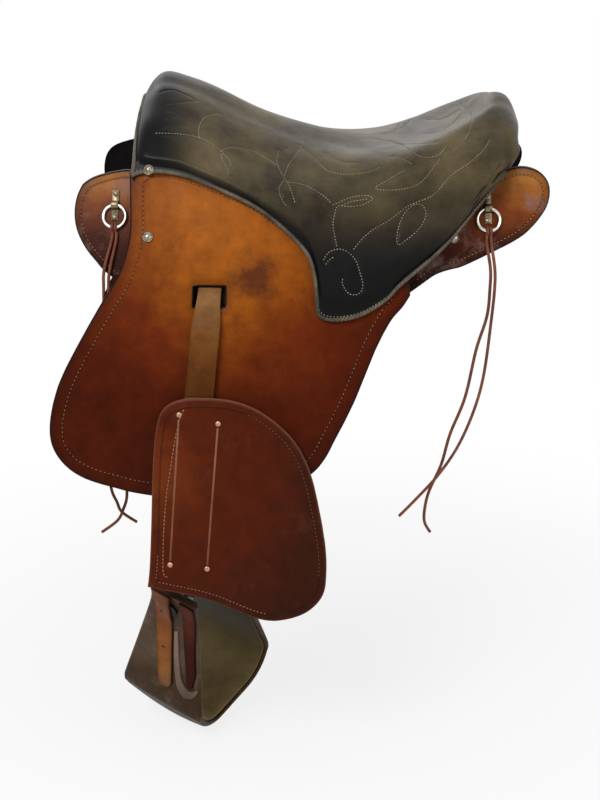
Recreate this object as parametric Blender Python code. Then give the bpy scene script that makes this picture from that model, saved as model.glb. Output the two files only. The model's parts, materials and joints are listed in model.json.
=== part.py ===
"""Plantation saddle: a leather riding saddle on a wooden tree, with padded seat and flared skirts.

+X points to the back (cantle), +Z up. The near side is at -Y and the far side mirrors it.
The origin lies on the middle plane, 5 mm above the lower edges of the tree's bars.
Each leather sheet lies on the curved side surface, at its own distance outside the horse's side.
"""

import math

import bmesh
import bpy
from mathutils import Matrix, Vector

# Clearance between pieces that touch
GAP = 0.0003

# The side surface: how far out it is at the reference height, where it ends up far below, and its curve
SIDE_REF_OUT = 0.165
SIDE_REF_Z = 0.08
SIDE_LOW_OUT = 0.305
SIDE_FLARE_LENGTH = 0.34
SIDE_BEND_RADIUS = 2.5  # the curve of the side surface along the saddle
CELL = 0.045  # the side surface is made of flat cells of this size, the same for every sheet

# Leather and wood thicknesses, from the horse outwards
LINING_THICK = 0.0040
SKIRT_THICK = 0.0045
BAR_THICK = 0.0140
FLAP_THICK = 0.0050
STRAP_THICK = 0.0060
SLEEVE_THICK = 0.0025
FENDER_THICK = 0.0045
BILLET_THICK = 0.0035
SLEEVE_CLEAR = 0.0015  # the sleeve's running clearance over the flap

# Where each layer starts outside the side surface
SKIRT_OUT = LINING_THICK + GAP
BAR_OUT = SKIRT_OUT + SKIRT_THICK + GAP
FLAP_OUT = BAR_OUT + BAR_THICK + GAP
STRAP_OUT = FLAP_OUT + FLAP_THICK + GAP
SLEEVE_OUT = STRAP_OUT + SLEEVE_CLEAR
LOOP_OUT = SLEEVE_OUT + SLEEVE_THICK + GAP
FENDER_OUT = LOOP_OUT + STRAP_THICK + GAP

# The tree
BAR_LOW_Z = -0.005
BAR_TOP_Z = 0.085
ARCH_FOOT_INSET = 0.0012  # the arches' feet stand this far in from the bars' outer faces
FORK_FRONT_X = -0.204
FORK_REAR_X = -0.150
FORK_TOP_Z = 0.182
FORK_THICK = 0.0088
GULLET_PLATE_THICK = 0.0020
GULLET_PLATE_INSET = 0.006
CANTLE_X = 0.166
CANTLE_LENGTH = 0.014
CANTLE_THICK = 0.0120
CANTLE_TOP_Z = 0.150
CANTLE_LEAN = math.radians(34.2)

# The seat: cover, pad and ground seat, as depths below the seat's outer surface
SEAT_SIDE_OUT = STRAP_OUT + 0.0045
COVER_THICK = 0.0030
PAD_TOP = COVER_THICK + GAP
PAD_THICK = 0.0130
GROUND_TOP = PAD_TOP + PAD_THICK + GAP
GROUND_THICK = 0.0030
GROUND_EDGE_RISE = 0.0105  # the seat's outer side is this much above the ground seat's own edge
SEAT_EDGE_WIDTH = 0.016  # the seat lies flat on the flap and skirt for this far above its edge
SEAT_LOW_Z = -0.080
SEAT_REAR_X = 0.272
SEAT_TUCK_X = 0.234  # behind this, the seat's lower part turns in and comes forward under its rim
SEAT_TUCK_TOP_Z = 0.165
SEAT_TUCK_LOW_Z = 0.115
SEAT_TUCK_SLOPE = math.radians(31)
SEAT_TUCK_IN = 0.018

# The seat's shape: x, height on the middle line, rim's distance out, rim's height
SEAT_STATIONS = (
    (-0.222, 0.1920, 0.078, 0.176),
    (-0.210, 0.2120, 0.078, 0.194),
    (-0.193, 0.2235, 0.078, 0.205),
    (-0.165, 0.2170, 0.080, 0.199),
    (-0.129, 0.2035, 0.086, 0.184),
    (-0.070, 0.1745, 0.100, 0.156),
    (-0.016, 0.1560, 0.116, 0.138),
    (0.037, 0.1430, 0.128, 0.129),
    (0.091, 0.1380, 0.138, 0.131),
    (0.140, 0.1420, 0.140, 0.145),
    (0.180, 0.1540, 0.132, 0.163),
    (0.212, 0.1740, 0.114, 0.177),
    (0.232, 0.1920, 0.094, 0.184),
    (0.248, 0.1960, 0.086, 0.182),
    (0.261, 0.1880, 0.084, 0.171),
    (0.270, 0.1640, 0.084, 0.152),
    (SEAT_REAR_X, 0.1300, 0.086, 0.124),
)

# The seat's lower edge, seen from the side, from the front corner to the rear one
SEAT_EDGE = (
    (-0.224, 0.112), (-0.205, 0.117), (-0.164, 0.115), (-0.114, 0.098), (-0.064, 0.075),
    (-0.027, 0.046), (-0.005, 0.022), (0.003, -0.001), (0.006, -0.031), (0.009, -0.050),
    (0.029, -0.055), (0.060, -0.049), (0.091, -0.031), (0.109, -0.013), (0.159, 0.028),
    (0.196, 0.068), (0.230, 0.106), (0.240, 0.119), (0.252, 0.124),
)

# Outlines seen from the side
BAR_OUTLINE = (
    (-0.206, 0.060), (-0.202, 0.024), (-0.175, BAR_LOW_Z), (0.085, BAR_LOW_Z), (0.125, 0.018),
    (0.158, 0.046), (0.190, 0.074), (0.190, BAR_TOP_Z), (-0.190, BAR_TOP_Z),
)
BAR_CORNERS = (2, 3, 7, 8)
SKIRT_OUTLINE = (
    (-0.229, 0.117), (-0.267, 0.110), (-0.290, 0.098), (-0.299, 0.074), (-0.298, 0.050),
    (-0.289, 0.029), (-0.273, 0.009), (-0.240, -0.018), (-0.150, -0.045), (-0.020, -0.058),
    (0.080, -0.050), (0.154, -0.006), (0.185, 0.002), (0.229, 0.021), (0.267, 0.040),
    (0.294, 0.069), (0.300, 0.092), (0.294, 0.108), (0.275, 0.119), (0.247, 0.118),
    (0.206, 0.098), (0.165, 0.082), (0.060, 0.080), (-0.100, 0.080), (-0.190, 0.082),
    (-0.216, 0.106),
)
FLAP_OUTLINE = (
    (-0.228, 0.117), (-0.226, 0.060), (-0.229, 0.031), (-0.241, -0.005), (-0.264, -0.041),
    (-0.296, -0.096), (-0.318, -0.140), (-0.329, -0.184), (-0.327, -0.215), (-0.311, -0.239),
    (-0.285, -0.255), (-0.247, -0.265), (-0.203, -0.273), (-0.110, -0.276), (-0.035, -0.264),
    (0.008, -0.236), (0.029, -0.201), (0.054, -0.152), (0.079, -0.091), (0.100, -0.053),
    (0.122, -0.026), (0.110, 0.010), (0.060, 0.032), (0.000, 0.048), (-0.060, 0.088),
    (-0.114, 0.110), (-0.164, 0.127), (-0.205, 0.128),
)
FLAP_CORNERS = (0,)
FENDER_OUTLINE = (
    (-0.182, -0.158), (-0.160, -0.148), (-0.138, -0.1462), (-0.101, -0.148), (-0.064, -0.161),
    (-0.026, -0.191), (-0.004, -0.228), (0.008, -0.272), (0.018, -0.329), (0.019, -0.368),
    (0.014, -0.394), (-0.008, -0.416), (-0.045, -0.426), (-0.077, -0.420), (-0.121, -0.402),
    (-0.159, -0.393), (-0.206, -0.385), (-0.203, -0.360), (-0.200, -0.301), (-0.197, -0.225),
    (-0.192, -0.181),
)
FENDER_CORNERS = (16,)

# The stirrup leather: where it bends in the flap's slot, where it bends at the fender's top
LEATHER_X = -0.127
LEATHER_BEND_Z = -0.024
LEATHER_LEAN = math.radians(5.71)  # it comes forward on its way down
LEATHER_TOP_WIDTH = 0.029
LEATHER_WIDTH = 0.036
LEATHER_WIDENING = 0.040  # the leather reaches its full width this far below its bend
SLOT_WIDTH = 0.040
SLOT_TOP_Z = -0.0155
SLOT_LOW_Z = -0.0400
SLOT_LIP = 0.006  # the leather is clear of the flap this far above the slot's lower edge
ANCHOR_RISE = 0.0145  # the hidden run ends this far above the bend, and the swinging run here:
LEATHER_HEAD = 0.006
LEATHER_RISE_Z = -0.070  # from here down the leather stands off the flap as far as its loop does
LIFT_BEND_Z = -0.1450
SLEEVE_TOP_Z = -0.160
SLEEVE_LOW_Z = -0.290
SLEEVE_WIDTH = 0.062

# The stirrup: a bent wood band with a leather cover, hung on a bolt and turned outwards
BOLT_X = -0.150
BOLT_OUT = 0.226
BOLT_Z = -0.416
STIRRUP_TURN = math.radians(54)
STIRRUP_RISE = math.radians(19)
STIRRUP_PITCH = math.radians(16)
STIRRUP_TOP_HALF = 0.052
STIRRUP_LOW_HALF = 0.080
STIRRUP_HEIGHT = 0.198
STIRRUP_CORNER = 0.050
STIRRUP_TOP_DEPTH = 0.074
STIRRUP_LOW_DEPTH = 0.130
STIRRUP_CROWN = 0.012  # how far the bottom bulges down at the middle of its depth
STIRRUP_COVER_THICK = 0.0025
STIRRUP_WOOD_THICK = 0.0080
BRANCH_ABOVE_BOLT = 0.024
CORNER_STEPS = 5
BOLT_RADIUS = 0.004
BOLT_HEAD_RADIUS = 0.0085
EYE_THICK = 0.0050
LOOP_NARROWS = 0.004
LOOP_TURN_STEPS = 6
TAIL_WIDTH = 0.024
TAIL_LENGTH = 0.150
TAIL_THICK = 0.0030
TAIL_TOP = BRANCH_ABOVE_BOLT - 0.002
TAIL_ASIDE = BOLT_HEAD_RADIUS + 0.0008  # the tail's nearer edge, beside the bolt's head

# Girth billets, hung from the bars' lower edges under the flap
BILLET_XS = {"front": -0.085, "rear": -0.035}
BILLET_OUTS = {"front": BAR_OUT + 0.0010, "rear": BAR_OUT + 0.0054}
BILLET_WIDTH = 0.025
BILLET_LOW_Z = -0.292
BILLET_POINT = 0.018

# String rings, clips and screws, at x and z of the point that the ring hangs from
RING_SEATS = {"front": (-0.247, 0.0745), "rear": (0.2205, 0.0715)}
RING_RADIUS = 0.0143
RING_WIRE = 0.00225
CLIP_WIDTH = 0.009
CLIP_THICK = 0.0015
CLIP_HALF_LENGTH = 0.019
CLIP_CAVITY = 0.0042
SCREW_RADIUS = 0.0070
SCREW_HEIGHT = 0.0035
STRING_THICK = 0.0040
STRING_SPREAD = 0.00225  # how far each tail is beside the ring's middle
STRING_CLEAR = 0.0004
STRING_FALL = 0.012  # each tail falls this far under the ring before its route starts
STRING_SPLAY = 1.3
SEAT_SCREW = (-0.203, 0.121)
FLAP_SCREW = (-0.204, 0.042)
SKIRT_SCREW = (0.178, 0.038)

# The leather strings of the near side, as x, distance from the middle plane, and z
STRING_ROUTES = {
    "front": {
        "a": ((-0.2600, 0.1950, 0.0000), (-0.2612, 0.1995, -0.0268), (-0.2620, 0.2010, -0.0914),
              (-0.2632, 0.2015, -0.1705), (-0.2641, 0.2020, -0.2376), (-0.2605, 0.2030, -0.2881),
              (-0.2533, 0.2040, -0.3086), (-0.2471, 0.2050, -0.3221), (-0.2279, 0.2050, -0.3361)),
        "b": ((-0.2530, 0.1952, 0.0000), (-0.2550, 0.1995, -0.0268), (-0.2550, 0.2005, -0.0917),
              (-0.2507, 0.2010, -0.1711), (-0.2450, 0.2000, -0.2385), (-0.2405, 0.1985, -0.2969),
              (-0.2467, 0.1970, -0.3224), (-0.2552, 0.1960, -0.3383), (-0.2756, 0.1950, -0.3543)),
    },
    "rear": {
        "a": ((0.2235, 0.1935, 0.0013), (0.2237, 0.1950, -0.0227), (0.2210, 0.1960, -0.0596),
              (0.2088, 0.1965, -0.1034), (0.1965, 0.1970, -0.1667), (0.1786, 0.1975, -0.2163),
              (0.1680, 0.1980, -0.2584), (0.1521, 0.1980, -0.2986), (0.1477, 0.1980, -0.3335),
              (0.1560, 0.1980, -0.3518)),
        "b": ((0.2288, 0.1955, 0.0013), (0.2292, 0.1985, -0.0222), (0.2265, 0.2010, -0.0583),
              (0.2190, 0.2035, -0.1325), (0.2077, 0.2050, -0.1812), (0.1885, 0.2060, -0.2296),
              (0.1638, 0.2065, -0.2693), (0.1361, 0.2060, -0.3025), (0.1144, 0.2060, -0.3263)),
    },
}

SIDES = {"near": -1, "far": 1}

COLOURS = {
    "seat_leather": ((0.022, 0.021, 0.020), 0.30, 0.0),
    "foam": ((0.55, 0.50, 0.40), 0.90, 0.0),
    "flap_leather": ((0.33, 0.10, 0.022), 0.45, 0.0),
    "skirt_leather": ((0.24, 0.075, 0.022), 0.45, 0.0),
    "fender_leather": ((0.11, 0.022, 0.008), 0.40, 0.0),
    "strap_leather": ((0.18, 0.085, 0.025), 0.50, 0.0),
    "lining": ((0.015, 0.015, 0.015), 0.90, 0.0),
    "wood": ((0.45, 0.30, 0.16), 0.70, 0.0),
    "stirrup_leather": ((0.060, 0.035, 0.020), 0.60, 0.0),
    "steel": ((0.35, 0.35, 0.36), 0.40, 1.0),
    "nickel": ((0.66, 0.64, 0.60), 0.20, 1.0),
    "string_leather": ((0.16, 0.045, 0.020), 0.60, 0.0),
}


def material(name):
    """The material of that name, made once from its colour, roughness and metallic value."""
    if name in bpy.data.materials:
        return bpy.data.materials[name]
    colour, roughness, metallic = COLOURS[name]
    made = bpy.data.materials.new(name)
    made.use_nodes = True
    shader = made.node_tree.nodes["Principled BSDF"]
    shader.inputs["Base Color"].default_value = (*colour, 1)
    shader.inputs["Roughness"].default_value = roughness
    shader.inputs["Metallic"].default_value = metallic
    return made


def finish(name, mesh, finish_name, pivot=(0, 0, 0), sharp=35):
    """Makes the object of a bmesh, with its origin at the pivot, smooth apart from sharp edges."""
    bmesh.ops.recalc_face_normals(mesh, faces=mesh.faces[:])
    bmesh.ops.translate(mesh, verts=mesh.verts[:], vec=-Vector(pivot))
    data = bpy.data.meshes.new(name)
    mesh.to_mesh(data)
    mesh.free()
    data.shade_smooth()
    data.set_sharp_from_angle(angle=math.radians(sharp))
    made = bpy.data.objects.new(name, data)
    made.location = pivot
    made.data.materials.append(material(finish_name))
    bpy.context.scene.collection.objects.link(made)
    return made


def combine(target, tool, operation):
    """Adds a Boolean with a hidden tool object."""
    tool.hide_render = True
    tool.display_type = "WIRE"
    modifier = target.modifiers.new(tool.name, "BOOLEAN")
    modifier.operation = operation
    modifier.solver = "EXACT"
    modifier.object = tool
    return target


def between_knots(value, function):
    """The function at a value, straight between the cell lines, so that it is flat inside a cell."""
    low = math.floor(value / CELL + 1e-6)
    share = value / CELL - low
    return function(low * CELL) * (1 - share) + function((low + 1) * CELL) * share


def flare(z):
    """The side surface's distance out at a height."""
    return SIDE_LOW_OUT - (SIDE_LOW_OUT - SIDE_REF_OUT) * math.exp((z - SIDE_REF_Z) / SIDE_FLARE_LENGTH)


def bend(x):
    """How far the side surface comes in towards the saddle's ends."""
    return x * x / (2 * SIDE_BEND_RADIUS)


def side_out(x, z):
    """The side surface's distance from the middle plane."""
    return between_knots(z, flare) - between_knots(x, bend)


def on_side(x, z, out, side):
    """A point at a distance outside the side surface."""
    return Vector((x, side * (side_out(x, z) + out), z))


def smooth_loop(points, corners=(), steps=4, closed=True):
    """Points along a smooth curve through the given ones, with sharp turns at the corners."""
    count = len(points)
    result = []
    last = count if closed else count - 1
    for i in range(last):
        before, here = Vector(points[i - 1]), Vector(points[i])
        there, after = Vector(points[(i + 1) % count]), Vector(points[(i + 2) % count])
        if not closed and i == 0:
            before = here
        if not closed and i == last - 1:
            after = there
        leave = Vector(here) * 0 if i in corners else (there - before) / 2
        arrive = Vector(here) * 0 if (i + 1) % count in corners else (after - here) / 2
        for k in range(steps):
            t = k / steps
            a = 2 * t**3 - 3 * t**2 + 1
            b = t**3 - 2 * t**2 + t
            c = -2 * t**3 + 3 * t**2
            d = t**3 - t**2
            result.append(here * a + leave * b + there * c + arrive * d)
    if not closed:
        result.append(Vector(points[-1]))
    return result


def knots(low, high):
    """The cell lines strictly inside a span."""
    first = math.ceil(low / CELL + 1e-6)
    last = math.floor(high / CELL - 1e-6)
    return [k * CELL for k in range(first, last + 1)]


def sheet(name, outline, side, start, thick, finish_name, pivot=(0, 0, 0), start_at=None, levels=()):
    """A sheet that lies on the side surface: an outline in x and z, cut into cells, draped and thickened.

    start_at gives the sheet's distance outside the surface by height, where it isn't even, and levels
    the heights where it turns.
    """
    mesh = bmesh.new()
    mesh.faces.new([mesh.verts.new((p[0], 0, p[1])) for p in outline])
    xs = [p[0] for p in outline]
    zs = [p[1] for p in outline]
    cuts = [((x, 0, 0), (1, 0, 0)) for x in knots(min(xs), max(xs))]
    cuts += [((0, 0, z), (0, 0, 1)) for z in (*knots(min(zs), max(zs)), *levels)]
    for point, normal in cuts:
        parts = mesh.verts[:] + mesh.edges[:] + mesh.faces[:]
        bmesh.ops.bisect_plane(mesh, geom=parts, dist=1e-6, plane_co=point, plane_no=normal)
    for vert in mesh.verts:
        lift = start_at(vert.co.z) if start_at else start
        vert.co.y = side * (side_out(vert.co.x, vert.co.z) + lift)
    grown = bmesh.ops.extrude_face_region(mesh, geom=mesh.faces[:])["geom"]
    outer = [v for v in grown if isinstance(v, bmesh.types.BMVert)]
    bmesh.ops.translate(mesh, verts=outer, vec=(0, side * thick, 0))
    return finish(name, mesh, finish_name, pivot)


def box(name, low, high, finish_name="steel"):
    """A plain box between two corners."""
    mesh = bmesh.new()
    size = Vector(high) - Vector(low)
    middle = (Vector(high) + Vector(low)) / 2
    place = Matrix.Translation(middle) @ Matrix.Diagonal((*size, 1))
    bmesh.ops.create_cube(mesh, size=1, matrix=place)
    return finish(name, mesh, finish_name)


def rounded_rectangle(x0, x1, z0, z1, radius, steps=4):
    """The outline of a rectangle with round corners, in x and z."""
    points = []
    centres = ((x1 - radius, z1 - radius, 0), (x0 + radius, z1 - radius, 90),
               (x0 + radius, z0 + radius, 180), (x1 - radius, z0 + radius, 270))
    for x, z, start in centres:
        for k in range(steps + 1):
            angle = math.radians(start + 90 * k / steps)
            points.append((x + radius * math.cos(angle), z + radius * math.sin(angle)))
    return points


def seat_edge_z(x):
    """The height of the seat's lower edge at a place along the saddle."""
    for (x0, z0), (x1, z1) in zip(SEAT_EDGE, SEAT_EDGE[1:]):
        if x <= x1:
            share = max(0, (x - x0) / (x1 - x0))
            return z0 + (z1 - z0) * share
    return SEAT_EDGE[-1][1]


def seat_profile(x, middle_z, rim_out, rim_z):
    """One section of the seat's outer surface, as points from the near edge to the far one."""
    tuck = max(0, (x - SEAT_TUCK_X) / (SEAT_REAR_X - SEAT_TUCK_X))
    top_side_z = max(BAR_TOP_Z + GAP + GROUND_EDGE_RISE, seat_edge_z(x) + SEAT_EDGE_WIDTH)
    half = []
    for k in range(4):
        z = SEAT_LOW_Z + (top_side_z - SEAT_LOW_Z) * k / 3
        half.append((side_out(x, z) + SEAT_SIDE_OUT - SEAT_TUCK_IN * tuck * tuck, z))
    low = half[-1]
    half.append((low[0] * 0.62 + rim_out * 0.38 + 0.004, low[1] * 0.50 + rim_z * 0.50))
    half.append((low[0] * 0.25 + rim_out * 0.75 + 0.003, low[1] * 0.17 + rim_z * 0.83))
    half.append((rim_out * 0.86, rim_z + (middle_z - rim_z) * 0.12 + 0.0015))
    half.append((rim_out * 0.55, rim_z + (middle_z - rim_z) * 0.52))
    half.append((rim_out * 0.26, rim_z + (middle_z - rim_z) * 0.86))
    near = [(-y, z) for y, z in half]
    far = [(y, z) for y, z in reversed(half)]
    points = []
    for y, z in near + [(0, middle_z)] + far:
        drop = SEAT_TUCK_TOP_Z - min(SEAT_TUCK_TOP_Z, max(SEAT_TUCK_LOW_Z, z))
        points.append(Vector((x - drop * math.tan(SEAT_TUCK_SLOPE) * tuck, y, z)))
    return points


def seat_grid(steps=2):
    """The seat's outer surface as rows of points, one row for each place along the saddle."""
    rows = []
    for station in smooth_loop(stations(), steps=steps, closed=False):
        rows.append(seat_profile(*station))
    return rows


def stations():
    return [Vector(row) for row in SEAT_STATIONS]


def seat_normals(rows):
    """The outward direction at each point of the seat's grid."""
    result = []
    for i, row in enumerate(rows):
        ahead = rows[min(i + 1, len(rows) - 1)]
        behind = rows[max(i - 1, 0)]
        line = []
        for j in range(len(row)):
            across = row[min(j + 1, len(row) - 1)] - row[max(j - 1, 0)]
            along = ahead[j] - behind[j]
            line.append(along.cross(across).normalized())
        result.append(line)
    return result


def seat_layer(name, top, thick, first_row, last_row, edge, finish_name):
    """One layer of the seat between two depths, over some rows, leaving out edge points on each side."""
    rows = seat_grid()
    normals = seat_normals(rows)
    mesh = bmesh.new()
    skins = []
    for depth in (top, top + thick):
        skin = []
        for i in range(first_row, last_row + 1):
            inside = range(edge, len(rows[i]) - edge)
            skin.append([mesh.verts.new(rows[i][j] - normals[i][j] * depth) for j in inside])
        skins.append(skin)
    for skin in skins:
        for row, following in zip(skin, skin[1:]):
            for j in range(len(row) - 1):
                mesh.faces.new((row[j], row[j + 1], following[j + 1], following[j]))
    borders = []
    for skin in skins:
        border = list(skin[0])
        border += [row[-1] for row in skin[1:-1]]
        border += list(reversed(skin[-1]))
        border += [row[0] for row in reversed(skin[1:-1])]
        borders.append(border)
    for k in range(len(borders[0])):
        here, there = k, (k + 1) % len(borders[0])
        mesh.faces.new((borders[0][here], borders[0][there], borders[1][there], borders[1][here]))
    return finish(name, mesh, finish_name, sharp=50)


def make_seat():
    """The black leather seat cover, its pad and the ground seat that bridges the bars."""
    rows = len(seat_grid())
    cover = seat_layer("seat_cover", 0, COVER_THICK, 0, rows - 1, 0, "seat_leather")
    edge = [tuple(p) for p in smooth_loop([Vector(p) for p in SEAT_EDGE], steps=2, closed=False)]
    above = [(0.35, 0.124), (0.35, 0.30), (-0.35, 0.30), (-0.35, 0.112)]
    mesh = bmesh.new()
    half_width = SIDE_LOW_OUT + SEAT_SIDE_OUT
    face = mesh.faces.new([mesh.verts.new((x, -half_width, z)) for x, z in edge + above])
    grown = bmesh.ops.extrude_face_region(mesh, geom=[face])["geom"]
    moved = [v for v in grown if isinstance(v, bmesh.types.BMVert)]
    bmesh.ops.translate(mesh, verts=moved, vec=(0, 2 * half_width, 0))
    combine(cover, finish("seat_edge_guide", mesh, "steel"), "INTERSECT")
    seat_layer("seat_pad", PAD_TOP, PAD_THICK, 4, rows - 7, 4, "foam")
    seat_layer("ground_seat", GROUND_TOP, GROUND_THICK, 8, 19, 3, "strap_leather")


def make_tree():
    """The two bars, each with a groove across it for the stirrup leather."""
    outline = smooth_loop([Vector(p) for p in BAR_OUTLINE], BAR_CORNERS, steps=3)
    for where, side in SIDES.items():
        bar = sheet(f"tree_bar_{where}", outline, side, BAR_OUT, BAR_THICK, "wood")
        half = LEATHER_TOP_WIDTH / 2 + 0.0045
        ends = rounded_rectangle(LEATHER_X - half, LEATHER_X + half, BAR_LOW_Z - 0.02,
                                 BAR_TOP_Z + 0.02, 0.001, 1)
        floor = FLAP_OUT - 2 * GAP - STRAP_THICK
        groove = sheet(f"leather_groove_{where}", ends, side, floor, BAR_THICK, "wood")
        combine(bar, groove, "DIFFERENCE")


def arch(name, x0, x1, points, depth, thick, finish_name, lean=0.0):
    """A band bent over from the near side to the far one, at a depth under a path in y and z.

    Its top may lean back, by so much for each metre up.
    """
    path = smooth_loop([Vector(p) for p in points], steps=2, closed=False)
    mesh = bmesh.new()
    rings = []
    for i, point in enumerate(path):
        along = path[min(i + 1, len(path) - 1)] - path[max(i - 1, 0)]
        if i in (0, len(path) - 1):
            along = Vector((0, 1 if i == 0 else -1))
        inward = Vector((along[1], -along[0])).normalized()
        outer, inner = point + inward * depth, point + inward * (depth + thick)
        outer[1], inner[1] = max(outer[1], path[0][1]), max(inner[1], path[0][1])
        shift = lean * (point[1] - BAR_TOP_Z)
        corners = ((x0, outer), (x1, outer), (x1, inner), (x0, inner))
        rings.append([mesh.verts.new((x + shift, p[0], p[1])) for x, p in corners])
    for ring, following in zip(rings, rings[1:]):
        for k in range(4):
            other = (k + 1) % 4
            mesh.faces.new((ring[k], ring[other], following[other], following[k]))
    mesh.faces.new(rings[0])
    mesh.faces.new(rings[-1])
    return finish(name, mesh, finish_name)


def arch_points(x, top_z):
    """The outer side of an arch, in y and z: its feet stand on the bars at x and follow the side up."""
    low_z = BAR_TOP_Z + GAP
    rise = top_z - low_z
    half = []
    for share in (0, 0.10, 0.22):
        z = low_z + rise * share
        half.append((-side_out(x, z) - BAR_OUT - BAR_THICK + ARCH_FOOT_INSET, z))
    foot = -half[0][0]
    half += [(-foot * 0.80, low_z + rise * 0.50), (-foot * 0.60, low_z + rise * 0.74),
             (-foot * 0.32, low_z + rise * 0.94)]
    return half + [(0, top_z)] + [(-y, z) for y, z in reversed(half)]


def make_arches():
    """The fork over the withers, the steel gullet plate under it, and the cantle board."""
    fork = arch_points(FORK_FRONT_X, FORK_TOP_Z)
    arch("pommel_fork", FORK_FRONT_X, FORK_REAR_X, fork, 0, FORK_THICK, "wood")
    arch("gullet_plate", FORK_FRONT_X + GULLET_PLATE_INSET, FORK_REAR_X - GULLET_PLATE_INSET, fork,
         FORK_THICK + GAP, GULLET_PLATE_THICK, "steel")
    arch("cantle_board", CANTLE_X, CANTLE_X + CANTLE_LENGTH, arch_points(CANTLE_X, CANTLE_TOP_Z), 0,
         CANTLE_THICK, "wood", math.tan(CANTLE_LEAN))


def make_sheets(where, side):
    """The lining, skirt and flap of one side."""
    skirt = smooth_loop([Vector(p) for p in SKIRT_OUTLINE], steps=2)
    sheet(f"skirt_lining_{where}", SKIRT_OUTLINE, side, 0, LINING_THICK, "lining")
    sheet(f"skirt_{where}", skirt, side, SKIRT_OUT, SKIRT_THICK, "skirt_leather")
    outline = smooth_loop([Vector(p) for p in FLAP_OUTLINE], FLAP_CORNERS, steps=2)
    flap = sheet(f"flap_{where}", outline, side, FLAP_OUT, FLAP_THICK, "flap_leather")
    reach = sorted((side * 0.15, side * 0.35))
    slot = box(f"flap_slot_{where}", (LEATHER_X - SLOT_WIDTH / 2, reach[0], SLOT_LOW_Z),
               (LEATHER_X + SLOT_WIDTH / 2, reach[1], SLOT_TOP_Z))
    combine(flap, slot, "DIFFERENCE")


def leather_start(z):
    """The stirrup leather's distance outside the side surface: it comes out through the flap's slot."""
    inside = min(1, max(0, (z - (SLOT_LOW_Z + SLOT_LIP)) / (LEATHER_BEND_Z - SLOT_LOW_Z - SLOT_LIP)))
    lower = min(1, max(0, (SLOT_LOW_Z - z) / (SLOT_LOW_Z - LEATHER_RISE_Z)))
    return STRAP_OUT - (FLAP_THICK + STRAP_THICK + 3 * GAP) * inside + (LOOP_OUT - STRAP_OUT) * lower


def leather_x(z):
    """The middle of the stirrup leather at a height."""
    return LEATHER_X + math.tan(LEATHER_LEAN) * (z - LEATHER_BEND_Z)


def make_leather(where, side):
    """The stirrup leather: the hidden run over the bar, and the run that swings over the flap."""
    half = LEATHER_TOP_WIDTH / 2
    upper = rounded_rectangle(LEATHER_X - half - 0.003, LEATHER_X + half + 0.003,
                              LEATHER_BEND_Z + ANCHOR_RISE, BAR_TOP_Z - 0.006, 0.002, 1)
    start = FLAP_OUT - GAP - STRAP_THICK
    sheet(f"leather_anchor_{where}", upper, side, start, STRAP_THICK, "strap_leather")
    points = []
    levels = [LEATHER_BEND_Z + LEATHER_HEAD, LEATHER_BEND_Z + LEATHER_HEAD * 0.4, LEATHER_BEND_Z,
              SLOT_LOW_Z + SLOT_LIP, SLOT_LOW_Z, LEATHER_RISE_Z, LIFT_BEND_Z + GAP]
    for z in levels:
        share = min(1, max(0, (LEATHER_BEND_Z - z) / LEATHER_WIDENING))
        width = LEATHER_TOP_WIDTH + (LEATHER_WIDTH - LEATHER_TOP_WIDTH) * share
        points.append((leather_x(z), z, width / 2))
    points[0] = (points[0][0], points[0][1], LEATHER_TOP_WIDTH * 0.3)
    outline = [(x - h, z) for x, z, h in points] + [(x + h, z) for x, z, h in reversed(points)]
    pivot = (LEATHER_X, side * (side_out(LEATHER_X, LEATHER_BEND_Z) + STRAP_OUT), LEATHER_BEND_Z)
    sheet(f"stirrup_leather_{where}", outline, side, 0, STRAP_THICK, "strap_leather", pivot,
          leather_start, levels[1:-1])


def make_fender(where, side):
    """The fender and the sleeve behind it, which the stirrup leather runs through."""
    x = leather_x(LIFT_BEND_Z)
    pivot = (x, side * (side_out(x, LIFT_BEND_Z) + FENDER_OUT - GAP), LIFT_BEND_Z)
    outline = smooth_loop([Vector(p) for p in FENDER_OUTLINE], FENDER_CORNERS, steps=2)
    sheet(f"fender_{where}", outline, side, FENDER_OUT, FENDER_THICK, "fender_leather", pivot)
    middle = leather_x((SLEEVE_TOP_Z + SLEEVE_LOW_Z) / 2)
    sleeve = rounded_rectangle(middle - SLEEVE_WIDTH / 2, middle + SLEEVE_WIDTH / 2,
                               SLEEVE_LOW_Z, SLEEVE_TOP_Z, 0.008)
    sheet(f"fender_sleeve_{where}", sleeve, side, SLEEVE_OUT, SLEEVE_THICK, "fender_leather", pivot)
    return pivot


def stirrup_axes(side):
    """The stirrup's directions: across its opening, along its tread's depth, and up."""
    across = Vector((math.cos(STIRRUP_RISE) * math.cos(STIRRUP_TURN),
                     math.cos(STIRRUP_RISE) * math.sin(STIRRUP_TURN), math.sin(STIRRUP_RISE)))
    level = Vector((math.sin(STIRRUP_TURN), -math.cos(STIRRUP_TURN), 0))
    upright = level.cross(across)
    depth = level * math.cos(STIRRUP_PITCH) - upright * math.sin(STIRRUP_PITCH)
    up = depth.cross(across)
    return [Vector((v.x, -side * v.y, v.z)) for v in (across, depth, up)]


def stirrup_place(side):
    """The matrix that puts the stirrup's own coordinates, across, depth and up, at its bolt."""
    across, depth, up = stirrup_axes(side)
    turn = Matrix((across, depth, up)).transposed().to_4x4()
    return Matrix.Translation((BOLT_X, side * BOLT_OUT, BOLT_Z)) @ turn


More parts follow.
